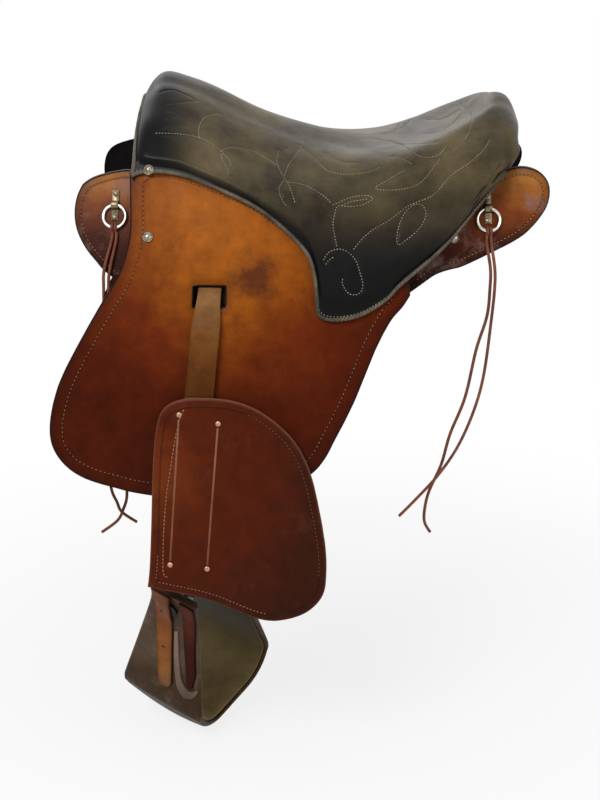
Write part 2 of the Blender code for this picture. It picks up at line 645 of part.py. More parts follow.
def stirrup_path(inset):
    """The stirrup's outline, across and up, from one branch's top round the tread to the other's."""
    top = STIRRUP_TOP_HALF - inset
    low = STIRRUP_LOW_HALF - inset
    corner = STIRRUP_CORNER - inset
    floor = -STIRRUP_HEIGHT + inset
    half = [(-top, BRANCH_ABOVE_BOLT), (-top, -0.012), (-(top + low) / 2, -STIRRUP_HEIGHT * 0.42)]
    for k in range(CORNER_STEPS + 1):
        angle = math.radians(180 + 90 * k / CORNER_STEPS)
        half.append((-low + corner + corner * math.cos(angle), floor + corner + corner * math.sin(angle)))
    return half + [(0, floor)] + [(-a, b) for a, b in reversed(half)]


def stirrup_depth(level):
    """Half of the stirrup's depth at a level above its bolt."""
    share = min(1, max(0, -level / (STIRRUP_HEIGHT - STIRRUP_CORNER)))
    return (STIRRUP_TOP_DEPTH + (STIRRUP_LOW_DEPTH - STIRRUP_TOP_DEPTH) * share) / 2


def crown(level, inset):
    """How far the stirrup bulges down at the middle of its depth, at a level above its bolt."""
    return STIRRUP_CROWN * max(0, -level - STIRRUP_HEIGHT + STIRRUP_CORNER) / (STIRRUP_CORNER - inset)


def stirrup_band(name, side, inset, thick, narrower, finish_name, pivot, inner_crowned=False):
    """One bent layer of the stirrup, between two insets from its outer face.

    Its bulging faces are cut along the same diagonals in every layer, so that layers don't cross.
    """
    outer = stirrup_path(inset)
    inner = stirrup_path(inset + thick)
    mesh = bmesh.new()
    rings = []
    for (a, b), (c, d) in zip(outer, inner):
        deep = stirrup_depth(b) - narrower
        outer_crown = crown(b, inset)
        outer_edge = b - outer_crown * narrower / (deep + narrower)
        inner_crown = crown(d, inset + thick) if inner_crowned else 0
        corners = ((a, -deep, outer_edge), (a, 0, b - outer_crown), (a, deep, outer_edge),
                   (c, deep, d), (c, 0, d - inner_crown), (c, -deep, d))
        rings.append([mesh.verts.new(p) for p in corners])
    for ring, following in zip(rings, rings[1:]):
        for k in range(len(ring)):
            other = (k + 1) % len(ring)
            a, b, c, d = ring[k], ring[other], following[other], following[k]
            if k % 3 == 0:
                faces = ((a, b, c), (a, c, d))
            elif k % 3 == 1:
                faces = ((a, b, d), (b, c, d))
            else:
                faces = ((a, b, c, d),)
            for face in faces:
                mesh.faces.new(face)
    mesh.faces.new(rings[0])
    mesh.faces.new(rings[-1])
    bmesh.ops.transform(mesh, matrix=stirrup_place(side), verts=mesh.verts[:])
    return finish(name, mesh, finish_name, pivot)


def rod(name, side, radius, half_length, finish_name, pivot=(0, 0, 0), segments=12):
    """A round rod along the stirrup's bolt."""
    mesh = bmesh.new()
    turn = Matrix.Rotation(math.radians(90), 4, "Y")
    bmesh.ops.create_cone(mesh, cap_ends=True, segments=segments, radius1=radius, radius2=radius,
                          depth=2 * half_length, matrix=stirrup_place(side) @ turn)
    return finish(name, mesh, finish_name, pivot)


def make_stirrup(where, side):
    """The stirrup: leather cover, bent wood, suede lining, bolt and the strap end beside the branch."""
    pivot = (BOLT_X, side * BOLT_OUT, BOLT_Z)
    hole = rod(f"bolt_hole_{where}", side, BOLT_RADIUS + GAP, 0.09, "steel")
    cover = stirrup_band(f"stirrup_cover_{where}", side, 0, STIRRUP_COVER_THICK, 0,
                         "stirrup_leather", pivot, inner_crowned=True)
    wood = stirrup_band(f"stirrup_wood_{where}", side, STIRRUP_COVER_THICK + GAP, STIRRUP_WOOD_THICK,
                        0.002, "wood", pivot)
    combine(cover, hole, "DIFFERENCE")
    combine(wood, hole, "DIFFERENCE")
    bolt = rod(f"stirrup_bolt_{where}", side, BOLT_RADIUS, STIRRUP_TOP_HALF + 0.001, "steel", pivot)
    for end, sign in (("in", 1), ("out", -1)):
        mesh = bmesh.new()
        middle = sign * (STIRRUP_TOP_HALF + GAP + 0.0015)
        turn = Matrix.Translation((middle, 0, 0)) @ Matrix.Rotation(math.radians(90), 4, "Y")
        bmesh.ops.create_cone(mesh, cap_ends=True, segments=14, radius1=BOLT_HEAD_RADIUS,
                              radius2=BOLT_HEAD_RADIUS, depth=0.003, matrix=stirrup_place(side) @ turn)
        combine(bolt, finish(f"bolt_head_{end}_{where}", mesh, "steel"), "UNION")
    make_tail(where, side, pivot)


def make_tail(where, side, pivot):
    """The strap end that lies on the stirrup's outer branch, beside the bolt's head."""
    half = TAIL_WIDTH / 2
    low = TAIL_TOP - TAIL_LENGTH + half
    middle = -TAIL_ASIDE - half
    outline = [(middle - half, TAIL_TOP), (middle + half, TAIL_TOP)]
    for k in range(9):
        angle = math.radians(-180 * k / 8)
        outline.append((middle + half * math.cos(angle), low + half * math.sin(angle)))
    mesh = bmesh.new()
    mesh.faces.new([mesh.verts.new((0, f, w)) for f, w in outline])
    levels = sorted({b for a, b in stirrup_path(0) if low - half < b < TAIL_TOP})
    for level in levels:
        parts = mesh.verts[:] + mesh.edges[:] + mesh.faces[:]
        bmesh.ops.bisect_plane(mesh, geom=parts, dist=1e-6, plane_co=(0, 0, level), plane_no=(0, 0, 1))
    grown = bmesh.ops.extrude_face_region(mesh, geom=mesh.faces[:])["geom"]
    outer = [v for v in grown if isinstance(v, bmesh.types.BMVert)]
    bmesh.ops.translate(mesh, verts=outer, vec=(-TAIL_THICK, 0, 0))
    for vert in mesh.verts:
        vert.co.x += branch_at(vert.co.z) - GAP
    bmesh.ops.transform(mesh, matrix=stirrup_place(side), verts=mesh.verts[:])
    finish(f"leather_tail_{where}", mesh, "strap_leather", pivot)


def branch_at(level):
    """The outer branch's outer face, across, at a level above the bolt."""
    path = stirrup_path(0)
    for (a, b), (c, d) in zip(path, path[1:]):
        if d <= level <= b:
            return a + (c - a) * (level - b) / (d - b)
    return path[0][0]


def make_loop(where, side, pivot):
    """The lower run of the stirrup leather: it turns to face the stirrup and ends in an eye round the bolt."""
    bolt = Vector((BOLT_X, side * BOLT_OUT, BOLT_Z))
    across = stirrup_axes(side)[0]
    across = Vector((across.x, across.y, 0)).normalized()
    half = LEATHER_WIDTH / 2
    rings = []
    mesh = bmesh.new()
    for z in (LIFT_BEND_Z - GAP, *reversed(knots(SLEEVE_LOW_Z, LIFT_BEND_Z - GAP)), SLEEVE_LOW_Z):
        x = leather_x(z)
        outs = ((x - half, LOOP_OUT + STRAP_THICK), (x + half, LOOP_OUT + STRAP_THICK),
                (x + half, LOOP_OUT), (x - half, LOOP_OUT))
        rings.append([mesh.verts.new(on_side(a, z, out, side)) for a, out in outs])
    start = on_side(leather_x(SLEEVE_LOW_Z), SLEEVE_LOW_Z, LOOP_OUT + STRAP_THICK / 2, side)
    flat = (rings[-1][1].co - rings[-1][0].co).normalized()
    end = bolt + Vector((0, 0, BOLT_RADIUS + GAP + EYE_THICK * 0.5))
    for k in range(1, LOOP_TURN_STEPS + 1):
        share = k / LOOP_TURN_STEPS
        point = start.lerp(end, share)
        point.y = start.y + (end.y - start.y) * math.sin(math.radians(90) * share)
        turned = flat.lerp(across, share**2).normalized()
        width = turned * (half - LOOP_NARROWS * share)
        thick = Vector((turned.y, -turned.x, 0)) * -side * STRAP_THICK / 2
        corners = (point - width + thick, point + width + thick, point + width - thick, point - width - thick)
        rings.append([mesh.verts.new(p) for p in corners])
    for ring, following in zip(rings, rings[1:]):
        for k in range(4):
            other = (k + 1) % 4
            mesh.faces.new((ring[k], ring[other], following[other], following[k]))
    mesh.faces.new(rings[0])
    mesh.faces.new(rings[-1])
    loop = finish(f"leather_loop_{where}", mesh, "strap_leather", pivot)
    eye_half = half - LOOP_NARROWS + 0.0005
    eye = rod(f"eye_{where}", side, BOLT_RADIUS + GAP + EYE_THICK, eye_half, "steel", segments=18)
    hole = rod(f"eye_hole_{where}", side, BOLT_RADIUS + GAP, 0.05, "steel")
    combine(loop, eye, "UNION")
    combine(loop, hole, "DIFFERENCE")


def make_billets(where, side):
    """The girth billets, which hang from the bar's lower edge between the skirt and the flap."""
    for place, x in BILLET_XS.items():
        out = BILLET_OUTS[place]
        half = BILLET_WIDTH / 2
        hang_z = BAR_LOW_Z - GAP - half
        outline = [(x - half, BILLET_LOW_Z + BILLET_POINT), (x, BILLET_LOW_Z),
                   (x + half, BILLET_LOW_Z + BILLET_POINT)]
        for k in range(9):
            angle = math.radians(180 * k / 8)
            outline.append((x + half * math.cos(angle), hang_z + half * math.sin(angle)))
        pivot = (x, side * (side_out(x, hang_z) + out), hang_z)
        sheet(f"girth_billet_{place}_{where}", outline, side, out, BILLET_THICK,
              "strap_leather", pivot)


def surface_place(x, z, out, side):
    """The matrix of a place on a sheet's outer face: x along the saddle, y up the sheet, z outwards."""
    step = 0.004
    middle = on_side(x, z, out, side)
    along = (on_side(x + step, z, out, side) - on_side(x - step, z, out, side)).normalized()
    up = on_side(x, z + step, out, side) - on_side(x, z - step, out, side)
    outward = (up.cross(along) * side).normalized()
    up = outward.cross(along) * -side
    return Matrix.Translation(middle) @ Matrix((along, up, outward)).transposed().to_4x4()


def make_clip(place, where, side, seat):
    """The clip that holds a ring: a small strap of metal with a bridge over the ring's wire."""
    wire_out = GAP + RING_WIRE
    outer = CLIP_CAVITY + CLIP_THICK
    profile = [(CLIP_HALF_LENGTH, 0), (CLIP_HALF_LENGTH, CLIP_THICK), (outer, CLIP_THICK)]
    for k in range(7):
        angle = math.radians(15 + 150 * k / 6)
        profile.append((outer * math.cos(angle), wire_out + outer * math.sin(angle)))
    profile += [(-outer, CLIP_THICK), (-CLIP_HALF_LENGTH, CLIP_THICK), (-CLIP_HALF_LENGTH, 0)]
    for k in range(7):
        angle = math.radians(180 - 180 * k / 6)
        height = max(0, wire_out + CLIP_CAVITY * math.sin(angle)) if 0 < k < 6 else 0
        profile.append((CLIP_CAVITY * math.cos(angle), height))
    mesh = bmesh.new()
    face = mesh.faces.new([mesh.verts.new((-CLIP_WIDTH / 2, a, b)) for a, b in profile])
    grown = bmesh.ops.extrude_face_region(mesh, geom=[face])["geom"]
    moved = [v for v in grown if isinstance(v, bmesh.types.BMVert)]
    bmesh.ops.translate(mesh, verts=moved, vec=(CLIP_WIDTH, 0, 0))
    bmesh.ops.transform(mesh, matrix=seat, verts=mesh.verts[:])
    finish(f"ring_clip_{place}_{where}", mesh, "nickel")


def make_ring(place, where, side, seat):
    """A plain wire ring, hanging flat against the skirt from the clip's bridge."""
    mesh = bmesh.new()
    circle = bmesh.ops.create_circle(mesh, segments=6, radius=RING_WIRE,
                                     matrix=Matrix.Translation((RING_RADIUS, 0, 0))
                                     @ Matrix.Rotation(math.radians(90), 4, "X"))
    edges = list({e for v in circle["verts"] for e in v.link_edges})
    bmesh.ops.spin(mesh, geom=circle["verts"] + edges, cent=(0, 0, 0), axis=(0, 0, 1),
                   angle=2 * math.pi, steps=16, use_merge=True)
    wire_out = GAP + RING_WIRE
    shift = Matrix.Translation((0, -RING_RADIUS, wire_out))
    bmesh.ops.transform(mesh, matrix=seat @ shift, verts=mesh.verts[:])
    pivot = seat @ Vector((0, 0, wire_out))
    finish(f"string_ring_{place}_{where}", mesh, "nickel", pivot)


def make_screw(name, x, z, out, side):
    """A domed ornament screw with a flat washer edge."""
    mesh = bmesh.new()
    profile = [(0.0, 0.0), (SCREW_RADIUS, 0.0), (SCREW_RADIUS, 0.0010), (SCREW_RADIUS * 0.80, 0.0022),
               (SCREW_RADIUS * 0.45, SCREW_HEIGHT * 0.95), (0.0, SCREW_HEIGHT)]
    verts = [mesh.verts.new((r, 0, h)) for r, h in profile]
    edges = [mesh.edges.new((a, b)) for a, b in zip(verts, verts[1:])]
    bmesh.ops.spin(mesh, geom=verts + edges, cent=(0, 0, 0), axis=(0, 0, 1), angle=2 * math.pi,
                   steps=12, use_merge=True)
    bmesh.ops.remove_doubles(mesh, verts=mesh.verts[:], dist=1e-6)
    bmesh.ops.transform(mesh, matrix=surface_place(x, z, out + 2 * GAP, side), verts=mesh.verts[:])
    finish(name, mesh, "nickel")


def make_string(place, tail, where, side, ring_foot):
    """One tail of a leather string: a tube on a smooth curve from under the ring through its route."""
    beside = -STRING_SPREAD if tail == "a" else STRING_SPREAD
    top_z = ring_foot.z - RING_WIRE - 2 * STRING_CLEAR
    clear = BAR_OUT + STRING_THICK / 2 + STRING_CLEAR
    route = [on_side(ring_foot.x + beside, top_z, clear, side),
             on_side(ring_foot.x + beside * STRING_SPLAY, top_z - STRING_FALL, clear + 3 * STRING_CLEAR, side)]
    route += [Vector((x, side * y, z)) for x, y, z in STRING_ROUTES[place][tail]]
    points = [p - ring_foot for p in smooth_loop(route, steps=2, closed=False)]
    curve = bpy.data.curves.new(f"string_{place}_{tail}_{where}", "CURVE")
    curve.dimensions = "3D"
    curve.bevel_depth = STRING_THICK / 2
    curve.bevel_resolution = 2
    curve.use_fill_caps = True
    spline = curve.splines.new("POLY")
    spline.points.add(len(points) - 1)
    for target, point in zip(spline.points, points):
        target.co = (*point, 1)
    made = bpy.data.objects.new(curve.name, curve)
    made.location = ring_foot
    made.data.materials.append(material("string_leather"))
    bpy.context.scene.collection.objects.link(made)


def make_side(where, side):
    """Everything that one side of the saddle carries."""
    make_sheets(where, side)
    make_leather(where, side)
    pivot = make_fender(where, side)
    make_loop(where, side, pivot)
    make_stirrup(where, side)
    make_billets(where, side)
    for place, (x, z) in RING_SEATS.items():
        seat = surface_place(x, z, BAR_OUT, side)
        make_clip(place, where, side, seat)
        make_ring(place, where, side, seat)
        if where == "near":
            ring_foot = seat @ Vector((0, -2 * RING_RADIUS, GAP + RING_WIRE))
            for tail in STRING_ROUTES[place]:
                make_string(place, tail, where, side, ring_foot)
    make_screw(f"seat_screw_{where}", *SEAT_SCREW, SEAT_SIDE_OUT, side)
    make_screw(f"flap_screw_{where}", *FLAP_SCREW, FLAP_OUT + FLAP_THICK, side)
    make_screw(f"skirt_screw_{where}", *SKIRT_SCREW, BAR_OUT - GAP, side)


for old in list(bpy.data.objects):
    bpy.data.objects.remove(old)
make_tree()
make_arches()
make_seat()
for where, side in SIDES.items():
    make_side(where, side)
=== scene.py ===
"""The looks of a plantation saddle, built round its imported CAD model."""

import json
import math

import bmesh
import bpy
from mathutils import Matrix, Vector
from mathutils.bvhtree import BVHTree
from mathutils.kdtree import KDTree

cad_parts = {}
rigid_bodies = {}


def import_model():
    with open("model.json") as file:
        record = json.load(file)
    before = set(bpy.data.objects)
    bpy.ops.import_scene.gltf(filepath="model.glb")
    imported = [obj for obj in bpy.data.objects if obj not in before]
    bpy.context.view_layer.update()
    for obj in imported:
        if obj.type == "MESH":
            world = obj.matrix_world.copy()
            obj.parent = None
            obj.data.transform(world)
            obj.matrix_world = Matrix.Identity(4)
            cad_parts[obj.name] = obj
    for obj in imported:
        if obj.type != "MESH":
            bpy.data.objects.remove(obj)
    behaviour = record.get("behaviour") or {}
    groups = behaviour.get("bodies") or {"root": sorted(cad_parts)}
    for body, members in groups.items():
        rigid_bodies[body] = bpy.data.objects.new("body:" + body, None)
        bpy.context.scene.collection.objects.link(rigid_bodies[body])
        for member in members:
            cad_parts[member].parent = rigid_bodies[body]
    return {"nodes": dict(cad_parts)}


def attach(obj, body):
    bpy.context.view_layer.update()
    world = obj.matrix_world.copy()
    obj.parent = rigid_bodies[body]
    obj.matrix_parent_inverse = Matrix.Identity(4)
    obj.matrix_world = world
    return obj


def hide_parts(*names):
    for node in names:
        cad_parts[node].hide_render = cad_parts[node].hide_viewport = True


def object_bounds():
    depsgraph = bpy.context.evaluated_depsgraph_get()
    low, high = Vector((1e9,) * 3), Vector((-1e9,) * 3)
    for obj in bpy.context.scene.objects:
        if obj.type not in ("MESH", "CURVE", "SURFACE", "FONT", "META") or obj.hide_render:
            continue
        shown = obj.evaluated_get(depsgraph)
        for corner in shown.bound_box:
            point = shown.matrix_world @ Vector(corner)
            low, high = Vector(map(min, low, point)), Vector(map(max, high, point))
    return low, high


for old in list(bpy.data.objects):
    bpy.data.objects.remove(old)
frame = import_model()
cad_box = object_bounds()
scene = bpy.context.scene
scene.view_settings.view_transform = "Standard"

# Camera: the photograph looks square at the near side from 2.2 m away, 17.4 degrees above it.
CAMERA_PLACE = Vector((0.0, -2.21, 0.46))
CAMERA_DOWN = math.radians(17.4)
CAMERA_YAW = math.radians(0.42)
CAMERA_LENS = 74.07
SENSOR = 36.0
PHOTO_SIZE = (600, 800)
camera_data = bpy.data.cameras.new("photo_camera")
camera_data.lens = CAMERA_LENS
camera_data.sensor_width = SENSOR
camera = bpy.data.objects.new("photo_camera", camera_data)
camera.location = CAMERA_PLACE
camera.rotation_euler = (math.radians(90) - CAMERA_DOWN, 0, CAMERA_YAW)
scene.collection.objects.link(camera)
scene.camera = camera


# Leather strings: two tails of soft lace hang from each ring of the near side and end bare. Each pair
# is one lace of 4 mm, hitched round its ring. The far rings hang empty, as in the photograph.
SIDES = {"near": -1, "far": 1}
SIDE_REF_OUT = 0.165
SIDE_REF_Z = 0.08
SIDE_LOW_OUT = 0.305
SIDE_FLARE_LENGTH = 0.34
SIDE_BEND_RADIUS = 2.5
BAR_OUT = 0.0091
RING_SEATS = {"front": (-0.247, 0.0745), "rear": (0.2205, 0.0715)}
RING_RADIUS = 0.0143
RING_WIRE = 0.00225
WIRE_OUT = RING_WIRE + 0.0003
STRING_THICK = 0.0040
STRING_SPREAD = 0.00225
STRING_CLEAR = 0.0004
STRING_FALL = 0.012
STRING_SPLAY = 1.3
HITCH_RADIUS = RING_WIRE + STRING_THICK / 2 - 0.0006
HITCH_FLATNESS = 0.9
STRING_ROUTES_MM = {
    "front": {
        "a": ((-260, 195, 0), (-261.2, 199.5, -26.8), (-262, 201, -91.4), (-263.2, 201.5, -170.5),
              (-264.1, 202, -237.6), (-260.5, 203, -288.1), (-253.3, 204, -308.6), (-247.1, 205, -322.1),
              (-227.9, 205, -336.1)),
        "b": ((-253, 195.2, 0), (-255, 199.5, -26.8), (-255, 200.5, -91.7), (-250.7, 201, -171.1),
              (-245, 200, -238.5), (-240.5, 198.5, -296.9), (-246.7, 197, -322.4), (-255.2, 196, -338.3),
              (-275.6, 195, -354.3)),
    },
    "rear": {
        "a": ((223.5, 193.5, 1.3), (223.7, 195, -22.7), (221, 196, -59.6), (208.8, 196.5, -103.4),
              (196.5, 197, -166.7), (178.6, 197.5, -216.3), (168, 198, -258.4), (152.1, 198, -298.6),
              (147.7, 198, -333.5), (156, 198, -351.8)),
        "b": ((228.8, 195.5, 1.3), (229.2, 198.5, -22.2), (226.5, 201, -58.3), (219, 203.5, -132.5),
              (207.7, 205, -181.2), (188.5, 206, -229.6), (163.8, 206.5, -269.3), (136.1, 206, -302.5),
              (114.4, 206, -326.3)),
    },
}


def linear(hex_colour):
    """The linear colour of an sRGB hex value."""
    values = [int(hex_colour[i:i + 2], 16) / 255 for i in (1, 3, 5)]
    return (*[v / 12.92 if v <= 0.04045 else ((v + 0.055) / 1.055) ** 2.4 for v in values], 1.0)


def node(tree, kind, inputs=None, **settings):
    """Adds a node with its settings, and gives its inputs a value or a link from another socket."""
    made = tree.nodes.new(kind)
    for name, value in settings.items():
        setattr(made, name, value)
    for name, value in (inputs or {}).items():
        if isinstance(value, bpy.types.NodeSocket):
            tree.links.new(value, made.inputs[name])
        else:
            made.inputs[name].default_value = value
    return made


def blank_material(name):
    """A new material, its empty node tree and the socket of the place that is coloured."""
    made = bpy.data.materials.new(name)
    made.use_nodes = True
    made.node_tree.nodes.clear()
    return made, made.node_tree, node(made.node_tree, "ShaderNodeTexCoord").outputs["Object"]


def maths(tree, operation, *values):
    """One step of arithmetic on numbers and sockets."""
    return node(tree, "ShaderNodeMath", dict(enumerate(values)), operation=operation).outputs[0]


def vector_maths(tree, operation, *values):
    """The sockets of one step of arithmetic on vectors: the first is a vector, Value is a number."""
    return node(tree, "ShaderNodeVectorMath", dict(enumerate(values)), operation=operation).outputs


def mapped(tree, value, span, result=(0.0, 1.0), smooth=False):
    """A value carried over from one span to another, and held inside it."""
    inputs = dict(zip(("Value", "From Min", "From Max", "To Min", "To Max"), (value, *span, *result)))
    return node(tree, "ShaderNodeMapRange", inputs,
                interpolation_type="SMOOTHSTEP" if smooth else "LINEAR").outputs["Result"]


def cloud(tree, where, scale, detail, roughness=0.5):
    """Plain noise, as large as 1 / scale metres."""
    return node(tree, "ShaderNodeTexNoise", {"Vector": where, "Scale": scale, "Detail": detail,
                "Roughness": roughness}).outputs["Fac"]


def noise(tree, where, scale, detail=4, roughness=0.6, span=(0.3, 0.7), result=(0.0, 1.0)):
    """Cloudy variation between two values."""
    return mapped(tree, cloud(tree, where, scale, detail, roughness), span, result)


def blended(tree, share, first, second):
    """The colour between two, by a share."""
    inputs = {0: share}
    for socket, colour in ((6, first), (7, second)):
        inputs[socket] = linear(colour) if isinstance(colour, str) else colour
    return node(tree, "ShaderNodeMix", inputs, data_type="RGBA").outputs[2]


def finish(made, colour, roughness, bump=None, inputs=None):
    """Ends a material with its surface. A bump has its height, its strength and its depth in metres."""
    tree = made.node_tree
    inputs = {"Base Color": colour, "Roughness": roughness, **(inputs or {})}
    if bump:
        values = dict(zip(("Height", "Strength", "Distance"), bump))
        inputs["Normal"] = node(tree, "ShaderNodeBump", values).outputs[0]
    surface = node(tree, "ShaderNodeBsdfPrincipled", inputs)
    node(tree, "ShaderNodeOutputMaterial", {"Surface": surface.outputs[0]})
    return made


def fibrous(name, colours, clouds, fibres, bump, roughness, inputs):
    """Two colours in clouds over a fine relief, each given by its scale and detail."""
    made, tree, where = blank_material(name)
    colour = blended(tree, noise(tree, where, *clouds), *colours)
    return finish(made, colour, roughness, (cloud(tree, where, *fibres), *bump), inputs)


def between(here, there, leave, arrive, t):
    """A point of the smooth curve between two points, by the curve's directions there."""
    return (here * (2 * t**3 - 3 * t**2 + 1) + leave * (t**3 - 2 * t**2 + t)
            + there * (3 * t**2 - 2 * t**3) + arrive * (t**3 - t**2))


def smooth_run(points, steps=6):
    """Points along a smooth curve through the given ones."""
    points = [Vector(p) for p in points]
    slopes = [(b - a) / 2 for a, b in zip(points[:1] + points, points[1:] + points[-1:])]
    run = [between(*ends, k / steps) for ends in zip(points, points[1:], slopes, slopes[1:])
           for k in range(steps)]
    return [*run, points[-1]]


def run_length(points):
    """The length of a run of straight pieces."""
    return sum((b - a).length for a, b in zip(points, points[1:]))


def side_out(x, z):
    """The distance from the middle plane to the horse's side, on which every sheet lies."""
    flare = (SIDE_LOW_OUT - SIDE_REF_OUT) * math.exp((z - SIDE_REF_Z) / SIDE_FLARE_LENGTH)
    return SIDE_LOW_OUT - flare - x * x / (2 * SIDE_BEND_RADIUS)


def on_side(x, z, out, side):
    """A point at a distance outside the horse's side."""
    return Vector((x, side * (side_out(x, z) + out), z))


def surface_place(x, z, out, side):
    """The matrix of a place on a sheet's outer face: x along the saddle, y up the sheet, z outwards."""
    step = 0.004
    along = (on_side(x + step, z, out, side) - on_side(x - step, z, out, side)).normalized()
    up = on_side(x, z + step, out, side) - on_side(x, z - step, out, side)
    outward = (up.cross(along) * side).normalized()
    up = outward.cross(along) * -side
    return Matrix.Translation(on_side(x, z, out, side)) @ Matrix((along, up, outward)).transposed().to_4x4()


def lace(name, points, body):
    """A round lace along a run of points, as a curve of one open spline."""
    data = bpy.data.curves.new(name, "CURVE")
    data.dimensions = "3D"
    data.bevel_depth = STRING_THICK / 2
    data.bevel_resolution = 3
    data.use_fill_caps = True
    spline = data.splines.new("POLY")
    spline.points.add(len(points) - 1)
    for target, point in zip(spline.points, points):
        target.co = (*point, 1)
    made = bpy.data.objects.new(name, data)
    made.data.materials.append(lace_leather)
    scene.collection.objects.link(made)
    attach(made, body)
    return made


lace_leather = fibrous("lace_leather", ("#54281a", "#8a4a2e"), (60, 6), (900, 3), (0.5, 0.0006), 0.68,
                       {"IOR": 1.45})
for end, tails in STRING_ROUTES_MM.items():
    ring_seat = surface_place(*RING_SEATS[end], BAR_OUT, -1)
    foot = ring_seat @ Vector((0, -2 * RING_RADIUS, WIRE_OUT))
    body = f"strings_{end}_near"
    angles = [math.radians(-60 + 300 * k / 8) for k in range(9)]
    hitch = [Vector((spread, math.sin(a) * HITCH_RADIUS, math.cos(a) * HITCH_RADIUS * HITCH_FLATNESS
                     + STRING_CLEAR))
             for spread, turn in ((-STRING_SPREAD, 1), (STRING_SPREAD, -1)) for a in angles[::turn]]
    hitch = [ring_seat.to_3x3() @ p + foot for p in smooth_run(hitch, 3)]
    hitch = lace(f"string_hitch_{end}_near", hitch, body)
    top_z = foot.z - RING_WIRE - 2 * STRING_CLEAR
    clear = BAR_OUT + STRING_THICK / 2 + STRING_CLEAR
    for tail, route in tails.items():
        beside = -STRING_SPREAD if tail == "a" else STRING_SPREAD
        points = [on_side(foot.x + beside, top_z, clear, -1),
                  on_side(foot.x + beside * STRING_SPLAY, top_z - STRING_FALL, clear + 3 * STRING_CLEAR, -1)]
        points = smooth_run(points + [Vector((x, -y, z)) / 1000 for x, y, z in route], 8)
        string = lace(f"string_tail_{end}_{tail}_near", points, body)
        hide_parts(f"string_{end}_{tail}_near")
        tuple(points[0])
        round(run_length(points), 4)


# Studio: a pale floor below the stirrups that fades to white, and soft panels of light round the saddle.
# The world and the floor are white where they are seen, also in a mirror or through glass.
FLOOR_DROP = 0.012
FLOOR_FADE = (0.5, 1.3)
FLOOR_WHITE = 0.8
FLOOR_COLOUR = "#f6f6f5"
FLOOR_SIZE = 8
ROOM_COLOUR = "#e8edf6"
ROOM_STRENGTH = 0.28
WHITE = (1, 1, 1, 1)
PANELS = {"key_panel": ((-1.2, -2.1, 1.9), (1.4, 1.1), 46), "fill_panel": ((1.9, -1.7, 0.8), (1.2, 1.6), 14),
          "top_panel": ((0.3, -0.2, 2.4), (1.6, 1.2), 12), "back_panel": ((-0.6, 2.4, 1.2), (1.8, 1.2), 8)}
PANEL_AIM = Vector((0, 0, -0.05))


def background_seen(tree):
    """One for the rays that see the white background: straight, mirrored and through glass."""
    rays = node(tree, "ShaderNodeLightPath").outputs
    straight = maths(tree, "MAXIMUM", rays["Is Camera Ray"], rays["Is Glossy Ray"])
    return maths(tree, "MAXIMUM", straight, rays["Is Transmission Ray"])


world = bpy.data.worlds.new("studio")
scene.world = world
world.use_nodes = True
tree = world.node_tree
tree.nodes.clear()
white = node(tree, "ShaderNodeBackground", {"Color": WHITE, "Strength": 1.0})
room = node(tree, "ShaderNodeBackground", {"Color": linear(ROOM_COLOUR), "Strength": ROOM_STRENGTH})
sky = node(tree, "ShaderNodeMixShader", {0: background_seen(tree), 1: room.outputs[0], 2: white.outputs[0]})
node(tree, "ShaderNodeOutputWorld", {"Surface": sky.outputs[0]})
for name, (place, size, power) in PANELS.items():
    data = bpy.data.lights.new(name, "AREA")
    data.shape = "RECTANGLE"
    data.size, data.size_y = size
    data.energy = power
    panel = bpy.data.objects.new(name, data)
    panel.location = place
    panel.rotation_euler = (PANEL_AIM - Vector(place)).to_track_quat("-Z", "Y").to_euler()
    scene.collection.objects.link(panel)

floor_mesh = bmesh.new()
floor_place = Matrix.Translation((0, 0, cad_box[0][2] - FLOOR_DROP))
bmesh.ops.create_grid(floor_mesh, x_segments=1, y_segments=1, size=FLOOR_SIZE, matrix=floor_place)
floor_data = bpy.data.meshes.new("studio_floor")
floor_mesh.to_mesh(floor_data)
floor_mesh.free()
floor = bpy.data.objects.new("studio_floor", floor_data)
scene.collection.objects.link(floor)
floor_paint, tree, spot = blank_material("matt_white_floor")
away = vector_maths(tree, "LENGTH", spot)["Value"]
fade = mapped(tree, away, FLOOR_FADE, (FLOOR_WHITE, 1.0), True)
shown = maths(tree, "MULTIPLY", fade, background_seen(tree))
matt = node(tree, "ShaderNodeBsdfDiffuse", {"Color": linear(FLOOR_COLOUR)})
glow = node(tree, "ShaderNodeEmission", {"Color": WHITE, "Strength": 1.0})
mix = node(tree, "ShaderNodeMixShader", {0: shown, 1: matt.outputs[0], 2: glow.outputs[0]})
node(tree, "ShaderNodeOutputMaterial", {"Surface": mix.outputs[0]})
floor_data.materials.append(floor_paint)


# Skirts: a sheet of saddle leather under the seat on each side, with a round lobe before and behind it,
# nailed to the tree over a black lining. Red-brown, 4.5 mm thick, with a dyed black edge and stitches.
THREAD_RADIUS = 0.00055
SKIRT_STITCH_INSET = 0.0085
SKIRT_STITCH_STEP = 0.0050


